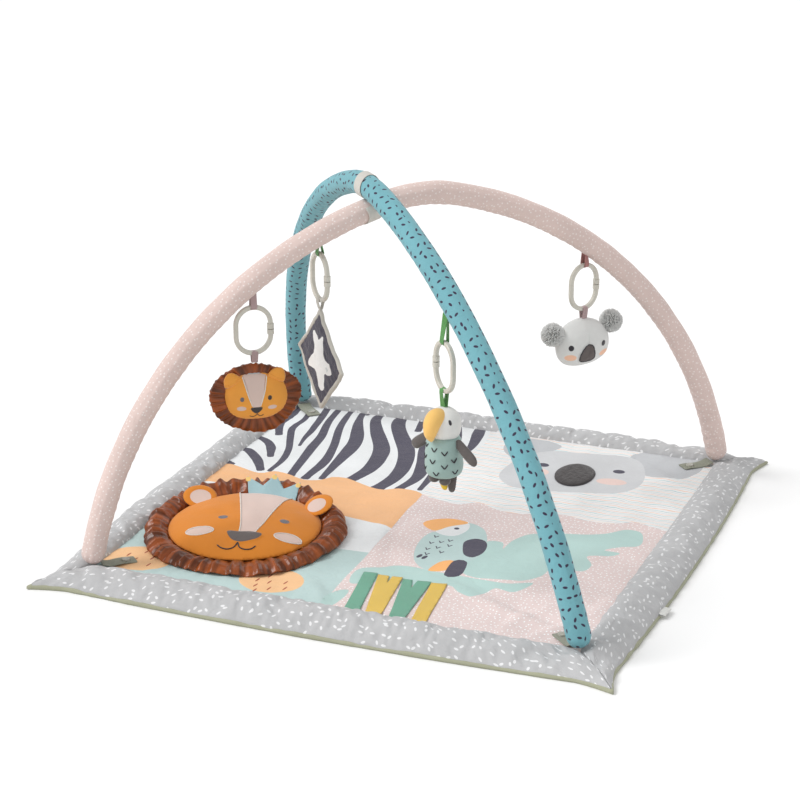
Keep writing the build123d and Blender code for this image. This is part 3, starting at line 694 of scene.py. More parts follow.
FEATHER_LOW = [(-8, -240), (21, -222), (37, -208), (68, -203), (98, -205), (137, -204), (171, -206),
               (214, -206), (250, -192), (234, -232), (204, -227), (194, -253), (185, -275), (161, -266), (139, -248),
               (100, -262), (40, -270), (0, -290)]
LEAF_LOW = [(-14, -330), (6, -312), (10, -340), (2, -372), (-12, -372)]
BEAK = [(18, -41), (26, -24), (50, -9), (74, -10), (84, -18), (62, -40), (47, -63), (30, -57)]
FACE = [(84, -18), (93, -40), (86, -68), (68, -75), (48, -64), (62, -39)]
BODY = [(84, -17), (112, -28), (130, -58), (142, -100), (140, -145), (128, -156), (107, -162), (97, -176),
        (93, -204), (76, -200), (58, -180), (45, -146), (38, -102), (44, -70), (62, -66), (86, -60)]
WING = [(109, -109), (104, -87), (115, -71), (131, -72), (142, -91), (144, -118), (135, -138), (120, -133)]
TAIL_ORANGE = [(90, -206), (95, -172), (113, -160), (115, -194)]
TAIL_DARK = [(114, -160), (133, -156), (141, -196), (133, -211), (117, -211)]
MAT_VS = ((55, -84), (57, -110), (70, -102), (81, -92), (60, -134), (73, -124), (87, -111), (84, -138),
          (66, -152))
SAND_LOW = [(-20, -80), (-42, -74), (-67, -69), (-110, -62), (-200, -40), (-300, -16), (-372, -9), (-E, -20)]
AQUA_TOP = [(-16, -180), (-61, -181), (-100, -184), (-200, -188), (-300, -172), (-E, -168)]
PAW_DASHES = ((-132, -329), (-127, -347), (-121, -363), (-120, -311), (-112, -331), (-103, -352), (-88, -326),
              (-81, -344), (-352, -318), (-331, -300), (-334, -330), (-312, -318), (-306, -342), (-350, -342))


def vee(x, y, size):
    """Small printed V."""
    return np.array([
        (x - size, y + size), (x - 0.45 * size, y + size), (x + 0.1 * size, y - 0.1 * size),
        (x + 0.75 * size, y + size), (x + 1.15 * size, y + 0.8 * size), (x + 0.2 * size, y - size)])


def build_panel():
    """The printed centre, cut along its printed areas."""
    outline = np.array([(-E, -E), (E, -E), (E, E), (-E, E)])
    outline = np.vstack([np.linspace(outline[i], outline[(i + 1) % 4], 60, endpoint=False) for i in range(4)])
    low = smooth_line(ZEBRA_LOW, 8)
    side = smooth_line([ZEBRA_LOW[-1], *ZEBRA_SIDE], 10)
    under = smooth_line([(-25, 66), *STRIPE_LOW], 8)
    prints = [
        (np.vstack([under, [(E, E)], side[::-1][:-1]]), stripe_print),
        (np.vstack([[(-E, E)], low, side[1:]]), white_print),
    ]
    for line, widths in STRIPES:
        prints.append((stripe_outline(line, widths), slate_print))
    sand_low = smooth_line(SAND_LOW, 10)
    prints += [
        (np.vstack([low, [(-23, 32), (-23, -2), (-22, -35)], sand_low]), sand_print),
        (np.vstack([sand_low, smooth_line(AQUA_TOP[::-1], 10)]), white_print),
        (np.vstack([smooth_line(AQUA_TOP, 10), [(-E, -E)],
                    smooth_line([(-12, -E), (-14, -300), (-16, -190)], 10)]), aqua_print),
        (ellipse(-332, -325, 55, 44, 4), peach_print),
        (ellipse(-112, -324, 50, 42, -4), peach_print),
        *[(ellipse(x, y, 1.5, 6.5, -8, 10), red_ink) for x, y in PAW_DASHES],
        *[(smooth_loop(loop, 8), finish) for loop, finish in (
            (KOALA_EAR_L, koala_ear_print), (KOALA_EAR_R, koala_ear_print), (KOALA_HEAD, koala_print))],
        (ellipse(118, 228, 17, 15), blush_print),
        (ellipse(242, 231, 25, 14, 8), blush_print),
        (ellipse(116, 259, 9.5, 8), slate_print),
        (ellipse(241, 277, 10, 8.5), slate_print),
        *[(smooth_loop(loop, 6), finish) for loop, finish in (
            (FEATHER, feather_print), (FEATHER_LOW, feather_print), (LEAF_LOW, feather_print),
            (BODY, aqua_print), (TAIL_ORANGE, orange_print), (TAIL_DARK, slate_print))],
        *[(smooth_loop(loop, 5), finish) for loop, finish in (
            (FACE, white_print), (BEAK, orange_print), (WING, slate_print))],
        (ellipse(75, -44, 4.2, 4.2, 0, 14), slate_print),
        (ellipse(59, -162, 3.4, 7, -14, 14), slate_print),
        (ellipse(68, -164, 3.4, 7, -14, 14), slate_print),
        *[(vee(x, y, 4.6), slate_print) for x, y in MAT_VS],
    ]
    flat, faces, top = cut_sheet(outline, [p for p, _ in prints], 7.5)
    materials, which = finish_numbers(pink_print, [m for _, m in prints], top)
    points = np.column_stack([flat, panel_height(flat[:, 0], flat[:, 1])])
    panel = piece("printed_panel", points, faces, materials, "mat", ["centre_panel"], which,
                  at_corners(flat, faces))
    shell = panel.modifiers.new("thickness", "SOLIDIFY")
    shell.thickness = 1.0 * MM
    shell.offset = -1


def outline_depth(x):
    """How far the mat's outer seam lies from its middle, along one side."""
    x = np.abs(x)
    bulge_line = HALF - BULGE_IN - (NECK_IN - BULGE_IN) * (x / (HALF - NECK)) ** 2
    ear = HALF - NECK_IN + NECK_IN * (np.clip(x - HALF + NECK, 0, NECK) / NECK) ** 1.4
    return np.where(x < HALF - NECK, bulge_line, ear)


def turned(points, degrees):
    """Points turned about the vertical axis."""
    a = radians(degrees)
    points = np.asarray(points, float)
    out = points.copy()
    out[..., 0] = points[..., 0] * cos(a) - points[..., 1] * sin(a)
    out[..., 1] = points[..., 0] * sin(a) + points[..., 1] * cos(a)
    return out


def build_border(side, turn, seed):
    """One padded side of the border, mitred at both ears and puckered along its seams."""
    t = np.linspace(-1, 1, 190)
    w = np.linspace(0, 1, 15)
    x_in, x_out = t * INNER, t * HALF
    inner = np.stack([x_in, 0 * t - INNER], -1)
    outer = np.stack([x_out, -outline_depth(x_out)], -1)
    plan = inner[:, None] + (outer - inner)[:, None] * w[None, :, None]
    from_mitre = (1 - np.abs(t)) * HALF
    full = 0.42 + 0.58 * (1 - np.exp(-from_mitre / 34))
    base = (PANEL_TOP - 1.0) * (1 - w) + 7.0 * w
    arch = (BORDER_TOP - 15) * np.sin(pi * w ** 0.92) ** 0.72
    ripple = swell(plan[..., 0], plan[..., 1], 70, seed, 3)
    pucker = swell(plan[..., 0], plan[..., 1] * 0.25, 30, seed + 9, 2)
    edge = np.abs(2 * w - 1) ** 2
    creased = swell(plan[..., 0], plan[..., 1] * 0.5, 26, seed + 5, 2) * np.exp(-from_mitre / 110)[:, None]
    height = base + full[:, None] * arch + (1.5 * ripple + 1.9 * creased) * np.sin(pi * w)
    height = height + 1.5 * pucker * np.sin(pi * w) * (0.4 + edge)
    top = np.concatenate([plan, height[..., None]], -1)
    back = plan[:, ::-1][:, 1:-1][:, ::2]
    under = np.concatenate([back, np.full(back.shape[:2] + (1,), BACKING_TOP + 0.4)], -1)
    foot, root = (np.concatenate([plan[:, edge], np.full((len(t), 1, 1), BACKING_TOP + 0.4)], -1)
                  for edge in (slice(-1, None), slice(0, 1)))
    rows = np.concatenate([top, foot, under, root], 1)
    co, faces, _ = lattice(rows, wrap=True, caps=True)
    pins = np.zeros(rows.shape[:2])
    pins[:, 0] = pins[:, len(w) - 1:] = 1
    pins[0] = pins[-1] = 1
    co = settled(co, faces, pins.ravel(), pressure=2.5, grow=0.055, cap=9)
    rows = turned(co.reshape(rows.shape), turn)
    co, faces, loops = lattice(rows, wrap=True, caps=True, uv=along_uv(rows, True) + seed)
    made = piece(f"padded_{side}", co, faces, border_cloth, "mat", [f"border_{side}"], uv=loops,
                 round_off=1)


def build_backing():
    """Backing cloth with a rolled edge that shows below the border."""
    x = np.linspace(-HALF, HALF, 150, endpoint=False)
    side = np.stack([x, -outline_depth(x)], -1)
    loop = np.vstack([turned(side, turn) for turn in (0, 90, 180, 270)])
    middle = loop * 0.985
    wave = swell(loop[:, 0], loop[:, 1], 45, 77, 2)
    out = loop * (1 + 0.0012 * wave[:, None])

    def ring(plan, z):
        return np.column_stack([plan, np.zeros(len(plan)) + z])
    rows = np.array([
        ring(middle, 0.1), ring(out, 0.1), ring(out * 1.0035, 1.4), ring(out * 1.003, 4.4 + 1.3 * wave),
        ring(out, 6.2 + wave), ring(loop * 0.994, 6.4 + wave), ring(middle, 2.6)])
    co, faces, loops = lattice(rows, wrap=True, caps=True, uv=along_uv(rows, True))
    piece("backing_cloth", co, faces, backing_cloth, "mat", ["backing_sheet"], uv=loops)


build_panel()
for number, (side, turn) in enumerate({"front": 0, "right": 90, "back": 180, "left": 270}.items()):
    build_border(side, turn, 20 + number)
build_backing()
dress("centre_wadding", foam_mat)


def build_webbing():
    """Four folded webbing tabs by the feet, and their press studs on top."""
    for number, turn in enumerate((0, 90, 180, 270)):
        run = np.linspace(10, 64, 26)
        across = np.linspace(-12, 12, 9)
        d, a = np.meshgrid(run, across, indexing="ij")
        c = 2**-0.5
        x = INNER - d * c - a * c
        y = INNER - d * c + a * c
        rise = 2.0 + 3.5 * np.exp(-((d - 10) / 9) ** 2) + 0.7 * np.sin(d / 7 + number) * (np.abs(a) / 12)
        rows = np.stack([x, y, 0 * x + PANEL_TOP + rise], -1)
        rows = turned(rows, turn)
        co, faces, loops = lattice(rows, uv=along_uv(rows))
        tab = piece(f"webbing_tab_{number}", co, faces, olive_webbing, "mat",
                    ["corner_webbing"] if number == 0 else (), uv=loops, round_off=1, thick=1.6)
    dress("press_studs", stud_plastic)


def build_ribbons():
    """Grosgrain ribbons sewn into the front seam, each laid back over the panel."""
    seam_y = -INNER - 2
    free_y = box_mm("green_ribbons")[1][1]
    tags = (  # colour, edges at the seam, edges at the free end, edges of the cut
        ("green", 27, 51, 5, 26, None), ("yellow", 60, 84, 28, 66, (45, 50)),
        ("green", 97, 120, 68, 111, (82, 90)), ("yellow", 130, 152, 112, 136, None))
    for number, (colour, left, right, free_left, free_right, cut) in enumerate(tags):
        outline = [(left, seam_y), (right, seam_y), (free_right, free_y + 2)]
        if cut:
            outline += [(cut[1], free_y), ((cut[0] + cut[1]) / 2 + 4, free_y - 24), (cut[0], free_y)]
        outline += [(free_left, free_y - 1)]
        loop = straight_loop(outline, 24)
        flat, faces, _ = cut_sheet(loop, [], 5.0)
        t = (flat[:, 1] - seam_y) / (free_y - seam_y)
        lift = 0.9 + 1.6 * np.exp(-((t - 0.06) / 0.06) ** 2) + 0.9 * np.sin(4 * t + 1.3 * number) ** 2 * t
        lift = lift + 0.35 * np.sin(flat[:, 0] / 9 + number) * t
        points = np.column_stack([flat, panel_height(flat[:, 0], flat[:, 1]) + lift])
        lean = (free_left - left) / (free_y - seam_y)
        uv = at_corners(np.column_stack([flat[:, 0] - lean * (flat[:, 1] - seam_y), flat[:, 1]]), faces)
        first = number < 2
        finish = green_ribbon if colour == "green" else yellow_ribbon
        tongue = piece(f"ribbon_tag_{number}", points, faces, finish, "mat",
                       [f"{colour}_ribbons"] if first else (), uv=uv, thick=0.5)


def build_nose_patch():
    """Plush nose sewn on the koala print."""
    centre = box_mm("plush_nose_patch")[2]
    outline = ellipse(centre[0], centre[1], 32, 48, 5, 60)
    flat, faces, _ = cut_sheet(outline, [], 3.2)
    share = reach_of(outline)(flat)
    lift = 0.6 + 4.2 * bulge(share, 6, 0.5) + 0.8 * swell(flat[:, 0], flat[:, 1], 18, 3) * bulge(share)
    points = np.column_stack([flat, panel_height(flat[:, 0], flat[:, 1]) + lift])
    made = piece("koala_plush_nose", points, faces, dark_plush, "mat", ["plush_nose_patch"],
                 uv=at_corners(flat, faces))
    shell = made.modifiers.new("thickness", "SOLIDIFY")
    shell.thickness, shell.offset = 0.8 * MM, -1
    loop = smooth_loop(outline, 3)
    rim = np.column_stack([loop, panel_height(loop[:, 0], loop[:, 1]) + 0.9])
    thread_line("koala_nose_stitching", np.vstack([rim, rim[:1]]), 0.7, dark_thread, "mat", dashes=3.0)


def build_tag():
    """Small folded tag in the right-hand seam, with nothing written on it."""
    low, high, _ = box_mm("blank_tag")
    y = np.linspace(low[1], high[1], 12)
    out = np.array([0, 4, 8, 11, 11.6, 11, 8, 4, 0])
    up = np.array([0, 0.4, 0.6, 0.8, 1.6, 2.4, 2.6, 2.4, 2.0])
    x = HALF - BULGE_IN - 4 + out[:, None] + 0.8 * np.sin(y / 6)[None]
    z = 6.0 + up[:, None] - 0.16 * out[:, None] + 0.8 * np.sin(y / 8)[None]
    rows = np.stack([x, np.repeat(y[None], len(out), 0), z], -1)
    co, faces, loops = lattice(rows, uv=along_uv(rows))
    tag = piece("seam_tag", co, faces, tag_cloth, "mat", ["blank_tag"], uv=loops, round_off=1,
                thick=0.5)


# ------------------------------------------------------------------ tummy-time pillow
PILLOW_TURN, TILT = 16.0, 0.035  # its back edge lies a little higher
FACE_R = 118.0  # seam between the face and the mane


def pillow_place(local):
    """Points given as right, back and height over the mat, in the row frame."""
    local = np.asarray(local, float)
    out = turned(local, PILLOW_TURN)
    out[..., 0] += pillow_centre[0]
    out[..., 1] += pillow_centre[1]
    return out


def face_height(x, y):
    """Height of the velour face."""
    share = np.hypot(x, y) / 119
    dome = 27.0 * np.clip(1 - share**2, 0, 1) ** 0.62
    return 29.5 + TILT * y + dome + 0.9 * swell(x, y, 70, 31, 2) * np.clip(1 - share, 0, 1) ** 0.3


PILLOW_WEDGE = [(-25, 104), (16, 113), (60, 99), (53, 62), (39, -13), (26, -62), (2, -64), (-2, -22)]
PILLOW_NOSE = [(-16, -63), (2, -62), (24, -62), (37, -65), (31, -77), (18, -85), (5, -87), (-8, -81)]


def build_pillow():
    """Velour face of the pillow: printed shapes that stand out, with their edges and the mouth stitched."""
    left_edge, right_edge = [*PILLOW_WEDGE[6:], PILLOW_WEDGE[0]], PILLOW_WEDGE[2:6]
    wedge = np.vstack([smooth_line(PILLOW_WEDGE[:3], 4), smooth_line(right_edge, 4)[1:],
                       smooth_line(left_edge, 4)[:-1]])
    left_cheek, right_cheek = (-60, -56, 22, 10.5, -6), (76, -60, 21, 9.5, 4)
    prints = [(wedge, blush_velour, 0.0), (smooth_loop(PILLOW_NOSE, 3), nose_velour, 1.6),
              (ellipse(*left_cheek), blush_velour, 0.4), (ellipse(*right_cheek), blush_velour, 0.4),
              (ellipse(-30, -20, 7.5, 6), grey_thread, 0.7), (ellipse(65, -19, 7.5, 6), grey_thread, 0.7)]
    face_loop = ellipse(0, 0, FACE_R, FACE_R, 0, 150)
    flat, faces, top = cut_sheet(face_loop, [p for p, _, _ in prints], 4.5)
    z = face_height(flat[:, 0], flat[:, 1]) + raised_by(flat, faces, top, [rise for _, _, rise in prints])
    materials, which = finish_numbers(orange_velour, [m for _, m, _ in prints], top)
    front = pillow_place(np.column_stack([flat, z]))
    n = len(flat)
    rim = [i for i in range(n) if abs(math.hypot(*flat[i]) - FACE_R) < 1.2]
    rim.sort(key=lambda i: math.atan2(flat[i][1], flat[i][0]))
    lower = pillow_place(np.column_stack([flat[rim] * 0.9, np.full(len(rim), PANEL_TOP + 1.6)]))
    skirt = [(rim[k], rim[(k + 1) % len(rim)], n + (k + 1) % len(rim), n + k) for k in range(len(rim))]
    base = [tuple(n + k for k in range(len(rim)))[::-1]]
    uv = np.vstack([at_corners(flat, faces), np.zeros((5 * len(rim), 2))])
    made = piece("pillow_face", np.vstack([front, lower]), faces + [f[::-1] for f in skirt] + base, materials,
                 "lion_pillow", ["pillow_cushion"], which + [0] * (len(skirt) + 1), uv)

    def on_face(points, lift=0.6):
        p = np.asarray(points, float)
        return pillow_place(np.column_stack([p, face_height(p[:, 0], p[:, 1]) + lift]))
    for name, line in (("left", left_edge), ("right", right_edge)):
        thread_line(f"pillow_edge_{name}", on_face(smooth_line(line, 2)), 1.1, white_thread, "lion_pillow",
                    dashes=2.4)
    for name, cheek in (("left", left_cheek), ("right", right_cheek)):
        loop = ellipse(*cheek, 50)
        thread_line(f"pillow_cheek_{name}", on_face(np.vstack([loop, loop[:1]])), 0.9, white_thread,
                    "lion_pillow", dashes=2.4)
    for name, line in (("left", [(-27, -93), (-20, -99), (-10, -102), (-1, -98), (4, -87)]),
                       ("right", [(4, -87), (8, -97), (17, -101), (26, -99), (32, -92)])):
        thread_line(f"pillow_mouth_{name}", on_face(smooth_line(line, 1.5)), 1.1, dark_thread, "lion_pillow",
                    dashes=3.0)


def mane_profile(share, rise):
    """Outward distance and height of the gathered mane, from the face seam round to its underside."""
    keys = np.array([0, 0.12, 0.3, 0.48, 0.66, 0.82, 0.92, 1.0])
    out = np.array([0, 3, 12, 22, 31, 36.5, 35, 24])
    up = np.array([0, 5, 15, 18, 11, 1, -7, -9.5])
    return np.interp(share, keys, out), np.interp(share, keys, up) * rise


def build_mane():
    """Satin mane: a padded ring gathered on to the face, higher at the back than at the front."""
    around, across = 300, 26
    a = np.arange(around) * 2 * pi / around
    w = np.linspace(0, 1, across)
    lift = 0.86 + 0.42 * np.sin(a)
    fold = np.sin(38 * a + 2.2 * np.sin(3 * a) + 1.7 * np.sin(7 * a + 1))
    fold = fold + 0.5 * np.sin(67 * a + 2 * np.sin(5 * a))
    out, up = mane_profile(w[None, :] + 0 * a[:, None], np.clip(lift, 0.45, 1.3)[:, None])
    depth = np.sin(pi * np.clip(w, 0, 1)) ** 0.6
    wavy = fold[:, None] * depth[None]
    radius = FACE_R + out * (1 + 0.06 * np.sin(5 * a + 1) + 0.16 * np.sin(a) ** 2)[:, None] + 1.2 * wavy
    seam = 29.0 + TILT * FACE_R * np.sin(a)
    height = seam[:, None] + up + 3.0 * wavy * (1 - 0.35 * w)
    height = np.maximum(height, PANEL_TOP + 0.8)
    rows = np.stack([radius * np.cos(a)[:, None], radius * np.sin(a)[:, None], height], -1)
    under = rows[:, -1:].copy()
    under[..., :2] *= (FACE_R - 12) / np.hypot(under[..., 0], under[..., 1])[..., None]
    rows = np.concatenate([rows, under, rows[:, :1] * [0.94, 0.94, 0.9]], 1)
    co, faces, loops = settled_ring(rows.transpose(1, 0, 2), [0, -3, -2, -1], grow=0.06, cap=5)
    made = piece("pillow_mane", pillow_place(co), faces, brown_satin, "lion_pillow",
                 ["pillow_mane", "pillow_base"], uv=loops, round_off=1, merge=0.01)


def build_pillow_trim():
    """Velour ears with blush insides and the felt crown, leaning on the mane."""
    for name, x, y, turn, wide in (("left", -83, 72, 24, 27), ("right", 107, 56, -44, 25)):
        loop = ellipse(0, 0, wide, 25, 0, 44)
        inner = ellipse(0, -4, wide * 0.62, 16)
        flat, faces, top = cut_sheet(loop, [inner], 3.5)
        share = reach_of(loop)(flat)
        c, s = cos(radians(turn)), sin(radians(turn))
        thick = 3.4 * bulge(share, 3, 0.6)
        for face, number in zip(faces, top):
            if number >= 0:
                thick[list(face)] = np.minimum(thick[list(face)], 2.6)
        out = []
        back = 0.86 * flat[:, 1]
        for side in (1, -1):
            lean = 41 + 0.42 * (flat[:, 1] + 18) + side * thick
            out.append(pillow_place(np.column_stack(
                [x + flat[:, 0] * c - back * s, y + flat[:, 0] * s + back * c, lean])))
        k = len(flat)
        both = faces + [tuple(k + i for i in f[::-1]) for f in faces]
        which = [1 if i >= 0 else 0 for i in top] + [0] * len(faces)
        uv = at_corners(np.vstack([flat, flat]), both)
        made = piece(f"pillow_ear_{name}", np.vstack(out), both, [orange_velour, blush_velour], "lion_pillow",
                     ["pillow_ears"] if name == "left" else (), which, uv, merge=0.02)
    loop = straight_loop([(-10, 100), (-15, 122), (-19, 147), (-4, 137), (10, 126), (19, 138), (28, 152),
                          (37, 138), (45, 124), (58, 129), (72, 135), (70, 118), (68, 98), (30, 104)], 8)
    tips = [ellipse(x, y, 4.6, 4.6) for x, y in ((-17, 141), (27, 145), (69, 129))]
    flat, faces, top = cut_sheet(loop, tips, 4.0)
    x, y = flat.T
    height = 36 + 0.5 * (y - 100) + 1.3 * np.sin(x / 9)
    made = piece("pillow_crown", pillow_place(np.column_stack([x * 0.95, y * 0.84 + 15, height])), faces,
                 [grey_felt, yellow_felt], "lion_pillow", ["pillow_crown"],
                 [1 if i >= 0 else 0 for i in top], at_corners(flat, faces), thick=2.2)


build_webbing()
build_ribbons()
build_nose_patch()
build_tag()
build_pillow()
build_mane()
build_pillow_trim()


# ------------------------------------------------------------------ arches
SLEEVE_R = 17.5
FOOT_Z = 42.0
CHORD = INNER * 2**0.5
ARCHES = {  # rise, radius of the crown, half its angle, heading of the chord, lean
    "pink": (496, 226, 12.7, 45, 0.0),
    "blue": (525, 221, 15.2, -45, 10.0),
}


def arch_line(colour, step):
    """Points along an arch's centre line, with the outward normal there and the arch's own side normal."""
    rise, crown_r, half, heading, lean = ARCHES[colour]
    f = radians(half)
    shoulder = np.array([crown_r * sin(f), rise - crown_r + crown_r * cos(f)])
    inward = np.array([-sin(f), -cos(f)])
    to_foot = np.array([CHORD, 0]) - shoulder
    side_r = to_foot @ to_foot / (2 * to_foot @ inward)
    centre = shoulder + inward * side_r
    end = math.atan2(CHORD - centre[0], -centre[1])
    crown = np.linspace(0, f, max(3, int(crown_r * f / step)), endpoint=False)
    flank = np.linspace(f, end, int(side_r * (end - f) / step))
    angle = np.concatenate([crown, flank])
    x = np.concatenate([crown_r * np.sin(crown), centre[0] + side_r * np.sin(flank)])
    y = np.concatenate([rise - crown_r + crown_r * np.cos(crown), centre[1] + side_r * np.cos(flank)])
    angle = np.concatenate([-angle[::-1], angle[1:]])
    x, y = np.concatenate([-x[::-1], x[1:]]), np.concatenate([y[::-1], y[1:]])
    a, t = radians(heading), radians(lean)
    chord = np.array([cos(a), sin(a), 0])
    up = np.array([sin(a), -cos(a), 0]) * sin(t) + np.array([0, 0, cos(t)])
    points = np.array([0, 0, FOOT_Z]) + x[:, None] * chord + y[:, None] * up
    normal = np.sin(angle)[:, None] * chord + np.cos(angle)[:, None] * up
    return points, normal, np.cross(chord, up)


def build_sleeve(colour, material, seam_turn, seed):
    """Padded sleeve of an arch: fine gathers inside its bends, a lengthwise seam, and closed rounded feet."""
    points, normal, side = arch_line(colour, 4.0)
    run = np.concatenate([[0], np.cumsum(np.linalg.norm(np.diff(points, axis=0), axis=1))])
    around = 44
    a = np.arange(around) * 2 * pi / around
    s, turn = run[:, None], a[None, :]
    to_foot = np.minimum(s, run[-1] - s)
    radius = SLEEVE_R + 0.2 + 0.4 * swell(s, 60 * np.sin(turn), 90, seed, 2)
    inside = np.clip(-np.cos(turn), 0, 1)
    gathers = np.sin(s * 2 * pi / 15 + 2.0 * np.sin(s / 37) + 0.6 * np.sin(2 * turn))
    radius = radius + 0.6 * inside * gathers
    radius = radius + 0.9 * np.exp(-to_foot / 40) * swell(s * 0.35, 22 * turn, 9, seed + 3, 2)
    off = (turn - seam_turn + pi) % (2 * pi) - pi
    radius = radius - 0.6 * np.exp(-(off * SLEEVE_R / 1.3) ** 2)
    radius = radius + 0.45 * np.exp(-((off * SLEEVE_R - 3) / 2) ** 2)
    radius = np.maximum(radius, SLEEVE_R - 0.2)
    rings = points[:, None] + radius[..., None] * (
        np.cos(turn)[..., None] * normal[:, None] + np.sin(turn)[..., None] * side)
    ends = []
    for place, way in ((0, -1), (-1, 1)):
        out = points[place] - points[place - way]
        out /= np.linalg.norm(out)
        caps = []
        for k in range(1, 8):
            b = k / 8 * pi / 2
            pleat = 1 + 0.07 * np.sin(9 * a + seed) * sin(b)
            across = np.cos(a)[:, None] * normal[place] + np.sin(a)[:, None] * side
            reach = (cos(b) * radius[place] * pleat)[:, None]
            caps.append(points[place] + out * SLEEVE_R * sin(b) + reach * across)
        ends.append(caps)
    rows = np.array(ends[0][::-1] + list(rings) + ends[1])
    co, faces, loops = lattice(rows, wrap=True, caps=True, uv=along_uv(rows, True) + seed * 3)
    nodes = [f"{colour}_sleeve", f"{colour}_feet"]
    made = piece(f"{colour}_padded_sleeve", co, faces, material, f"{colour}_arch", nodes,
                 uv=loops, round_off=1)


def build_strap():
    """Woven strap that crosses from the blue arch to the pink one, in two bands."""
    for colour, node in (("blue", "strap_blue_half"), ("pink", "strap_pink_half")):
        centre = box_mm(node)[2]
        points, normal, _ = arch_line(colour, 1.0)
        near = int(np.argmin(np.linalg.norm(points - centre, axis=1)))
        along = points[near + 1] - points[near - 1]
        along /= np.linalg.norm(along)
        up = normal[near] if colour == "blue" else -normal[near]
        across = np.cross(along, up)
        overlap = 38 if colour == "blue" else 32  # degrees past a half turn, at each end
        angles = np.radians(np.linspace(-overlap, 180 + overlap, 60))
        rows = []
        for angle in angles:
            reach = SLEEVE_R + 1.1 + (1.6 if colour == "pink" else 0.4) * abs(cos(angle)) ** 8
            spot = points[near] + reach * (cos(angle) * across + sin(angle) * up)
            lean = 7.0 * cos(angle) * (1 if colour == "blue" else -1)
            rows.append([spot + along * (w * 12.0 + lean) for w in np.linspace(-1, 1, 9)])
        rows = np.array(rows)
        co, faces, loops = lattice(rows, uv=along_uv(rows))
        band = piece(f"strap_{colour}_band", co, faces, strap_webbing, f"{colour}_arch", [node],
                     uv=loops, round_off=1, thick=1.3)


# ------------------------------------------------------------------ links and their ribbons
def ribbon(name, path, across, width, material, body, nodes):
    """Flat ribbon along a path of points, its width set along a direction at each point."""
    path = np.asarray(path, float)
    across = np.asarray(across, float)
    w = np.linspace(-0.5, 0.5, 7) * width
    rows = path[:, None] + across[:, None] * w[None, :, None]
    co, faces, loops = lattice(rows, uv=along_uv(rows))
    made = piece(name, co, faces, material, body, nodes, uv=loops, round_off=1, thick=1.0)


def loop_path(bar, end, heading, radius=5.0, way=1, spread=1.6):
    """Path of a ribbon from its sewn end, round a bar and back; way is 1 if the end lies above the bar."""
    a = radians(heading)
    front = np.array([sin(a), -cos(a), 0])
    bar, end = np.asarray(bar, float), np.asarray(end, float)
    up = np.array([0, 0, 1.0]) * way
    straight = np.linspace(1, 0, 14)[:, None]
    leg_front = bar + up * 3 + front * radius + (
        end + front * spread - bar - up * 3 - front * radius) * straight
    leg_back = bar + up * 3 - front * radius + (
        end - front * spread - bar - up * 3 + front * radius) * straight[::-1]
    angles = np.linspace(0, pi, 12)
    bend = bar + radius * (np.cos(angles)[:, None] * front - np.sin(angles)[:, None] * up)
    return np.vstack([leg_front[:-1], bend + up * 1.5, leg_back[1:]])


def build_link_ribbons():
    """The links, the ribbon that holds each one on its arch, and the ribbon of the toy below."""
    finishes = {  # upper and lower ribbon with their slots, headings of link and toy, arch
        "lion": (mauve_ribbon, "pink_ribbon", mauve_ribbon, "pink_ribbon", 40, 36, "pink"),
        "pennant": (leaf_ribbon, "leaf_ribbon", greige_ribbon, "greige_ribbon", -42, -42, "pink"),
        "koala": (rose_ribbon, "pink_ribbon", mauve_ribbon, "pink_ribbon", 60, 46, "pink"),
        "toucan": (leaf_ribbon, "leaf_ribbon", leaf_ribbon, "leaf_ribbon", -42, -20, "blue"),
    }
    for toy, (upper, upper_slot, lower, lower_slot, heading, toy_heading, arch) in finishes.items():
        low, high, centre = box_mm(f"link_{toy}")
        dress(f"link_{toy}", link_plastic)
        a = radians(heading)
        top_bar = np.array([centre[0], centre[1], high[2] - 3.5])
        low_bar = np.array([centre[0], centre[1], low[2] + 3.5])
        points = arch_line(arch, 2.0)[0]
        gap = points - top_bar if toy == "toucan" else (points - top_bar)[:, :2]
        under = points[int(np.argmin(np.linalg.norm(gap, axis=1)))]
        end = np.array([top_bar[0], top_bar[1], box_mm(f"arch_loop_{toy}")[1][2] - 1.0])
        toward = under - end
        end = end + toward * min(1.0, 4.0 / max(np.linalg.norm(toward), 1))
        path = loop_path(top_bar, end, heading)
        twist = 0.0 if toy in ("pennant", "lion") else 0.6
        across = []
        for t in np.linspace(0, 1, len(path)):
            b = a + twist * (1 - math.sin(pi * t)) * (1 if t < 0.5 else -0.4)
            across.append([cos(b), sin(b), 0])
        ribbon(f"ribbon_over_{toy}", path, across, 10.0, upper, f"{arch}_arch", [f"arch_loop_{toy}"])
        end = np.array([centre[0], centre[1], box_mm(f"{toy}_ribbon")[0][2] - 2.0])
        path = loop_path(low_bar, end, heading, way=-1)
        b = radians(toy_heading)
        across = []
        for t in np.linspace(0, 1, len(path)):
            c = b + (a - b) * math.sin(pi * t)
            across.append([cos(c), sin(c), 0])
        ribbon(f"ribbon_of_{toy}", path, across, 10.0, lower, f"{toy}_toy", [f"{toy}_ribbon"])


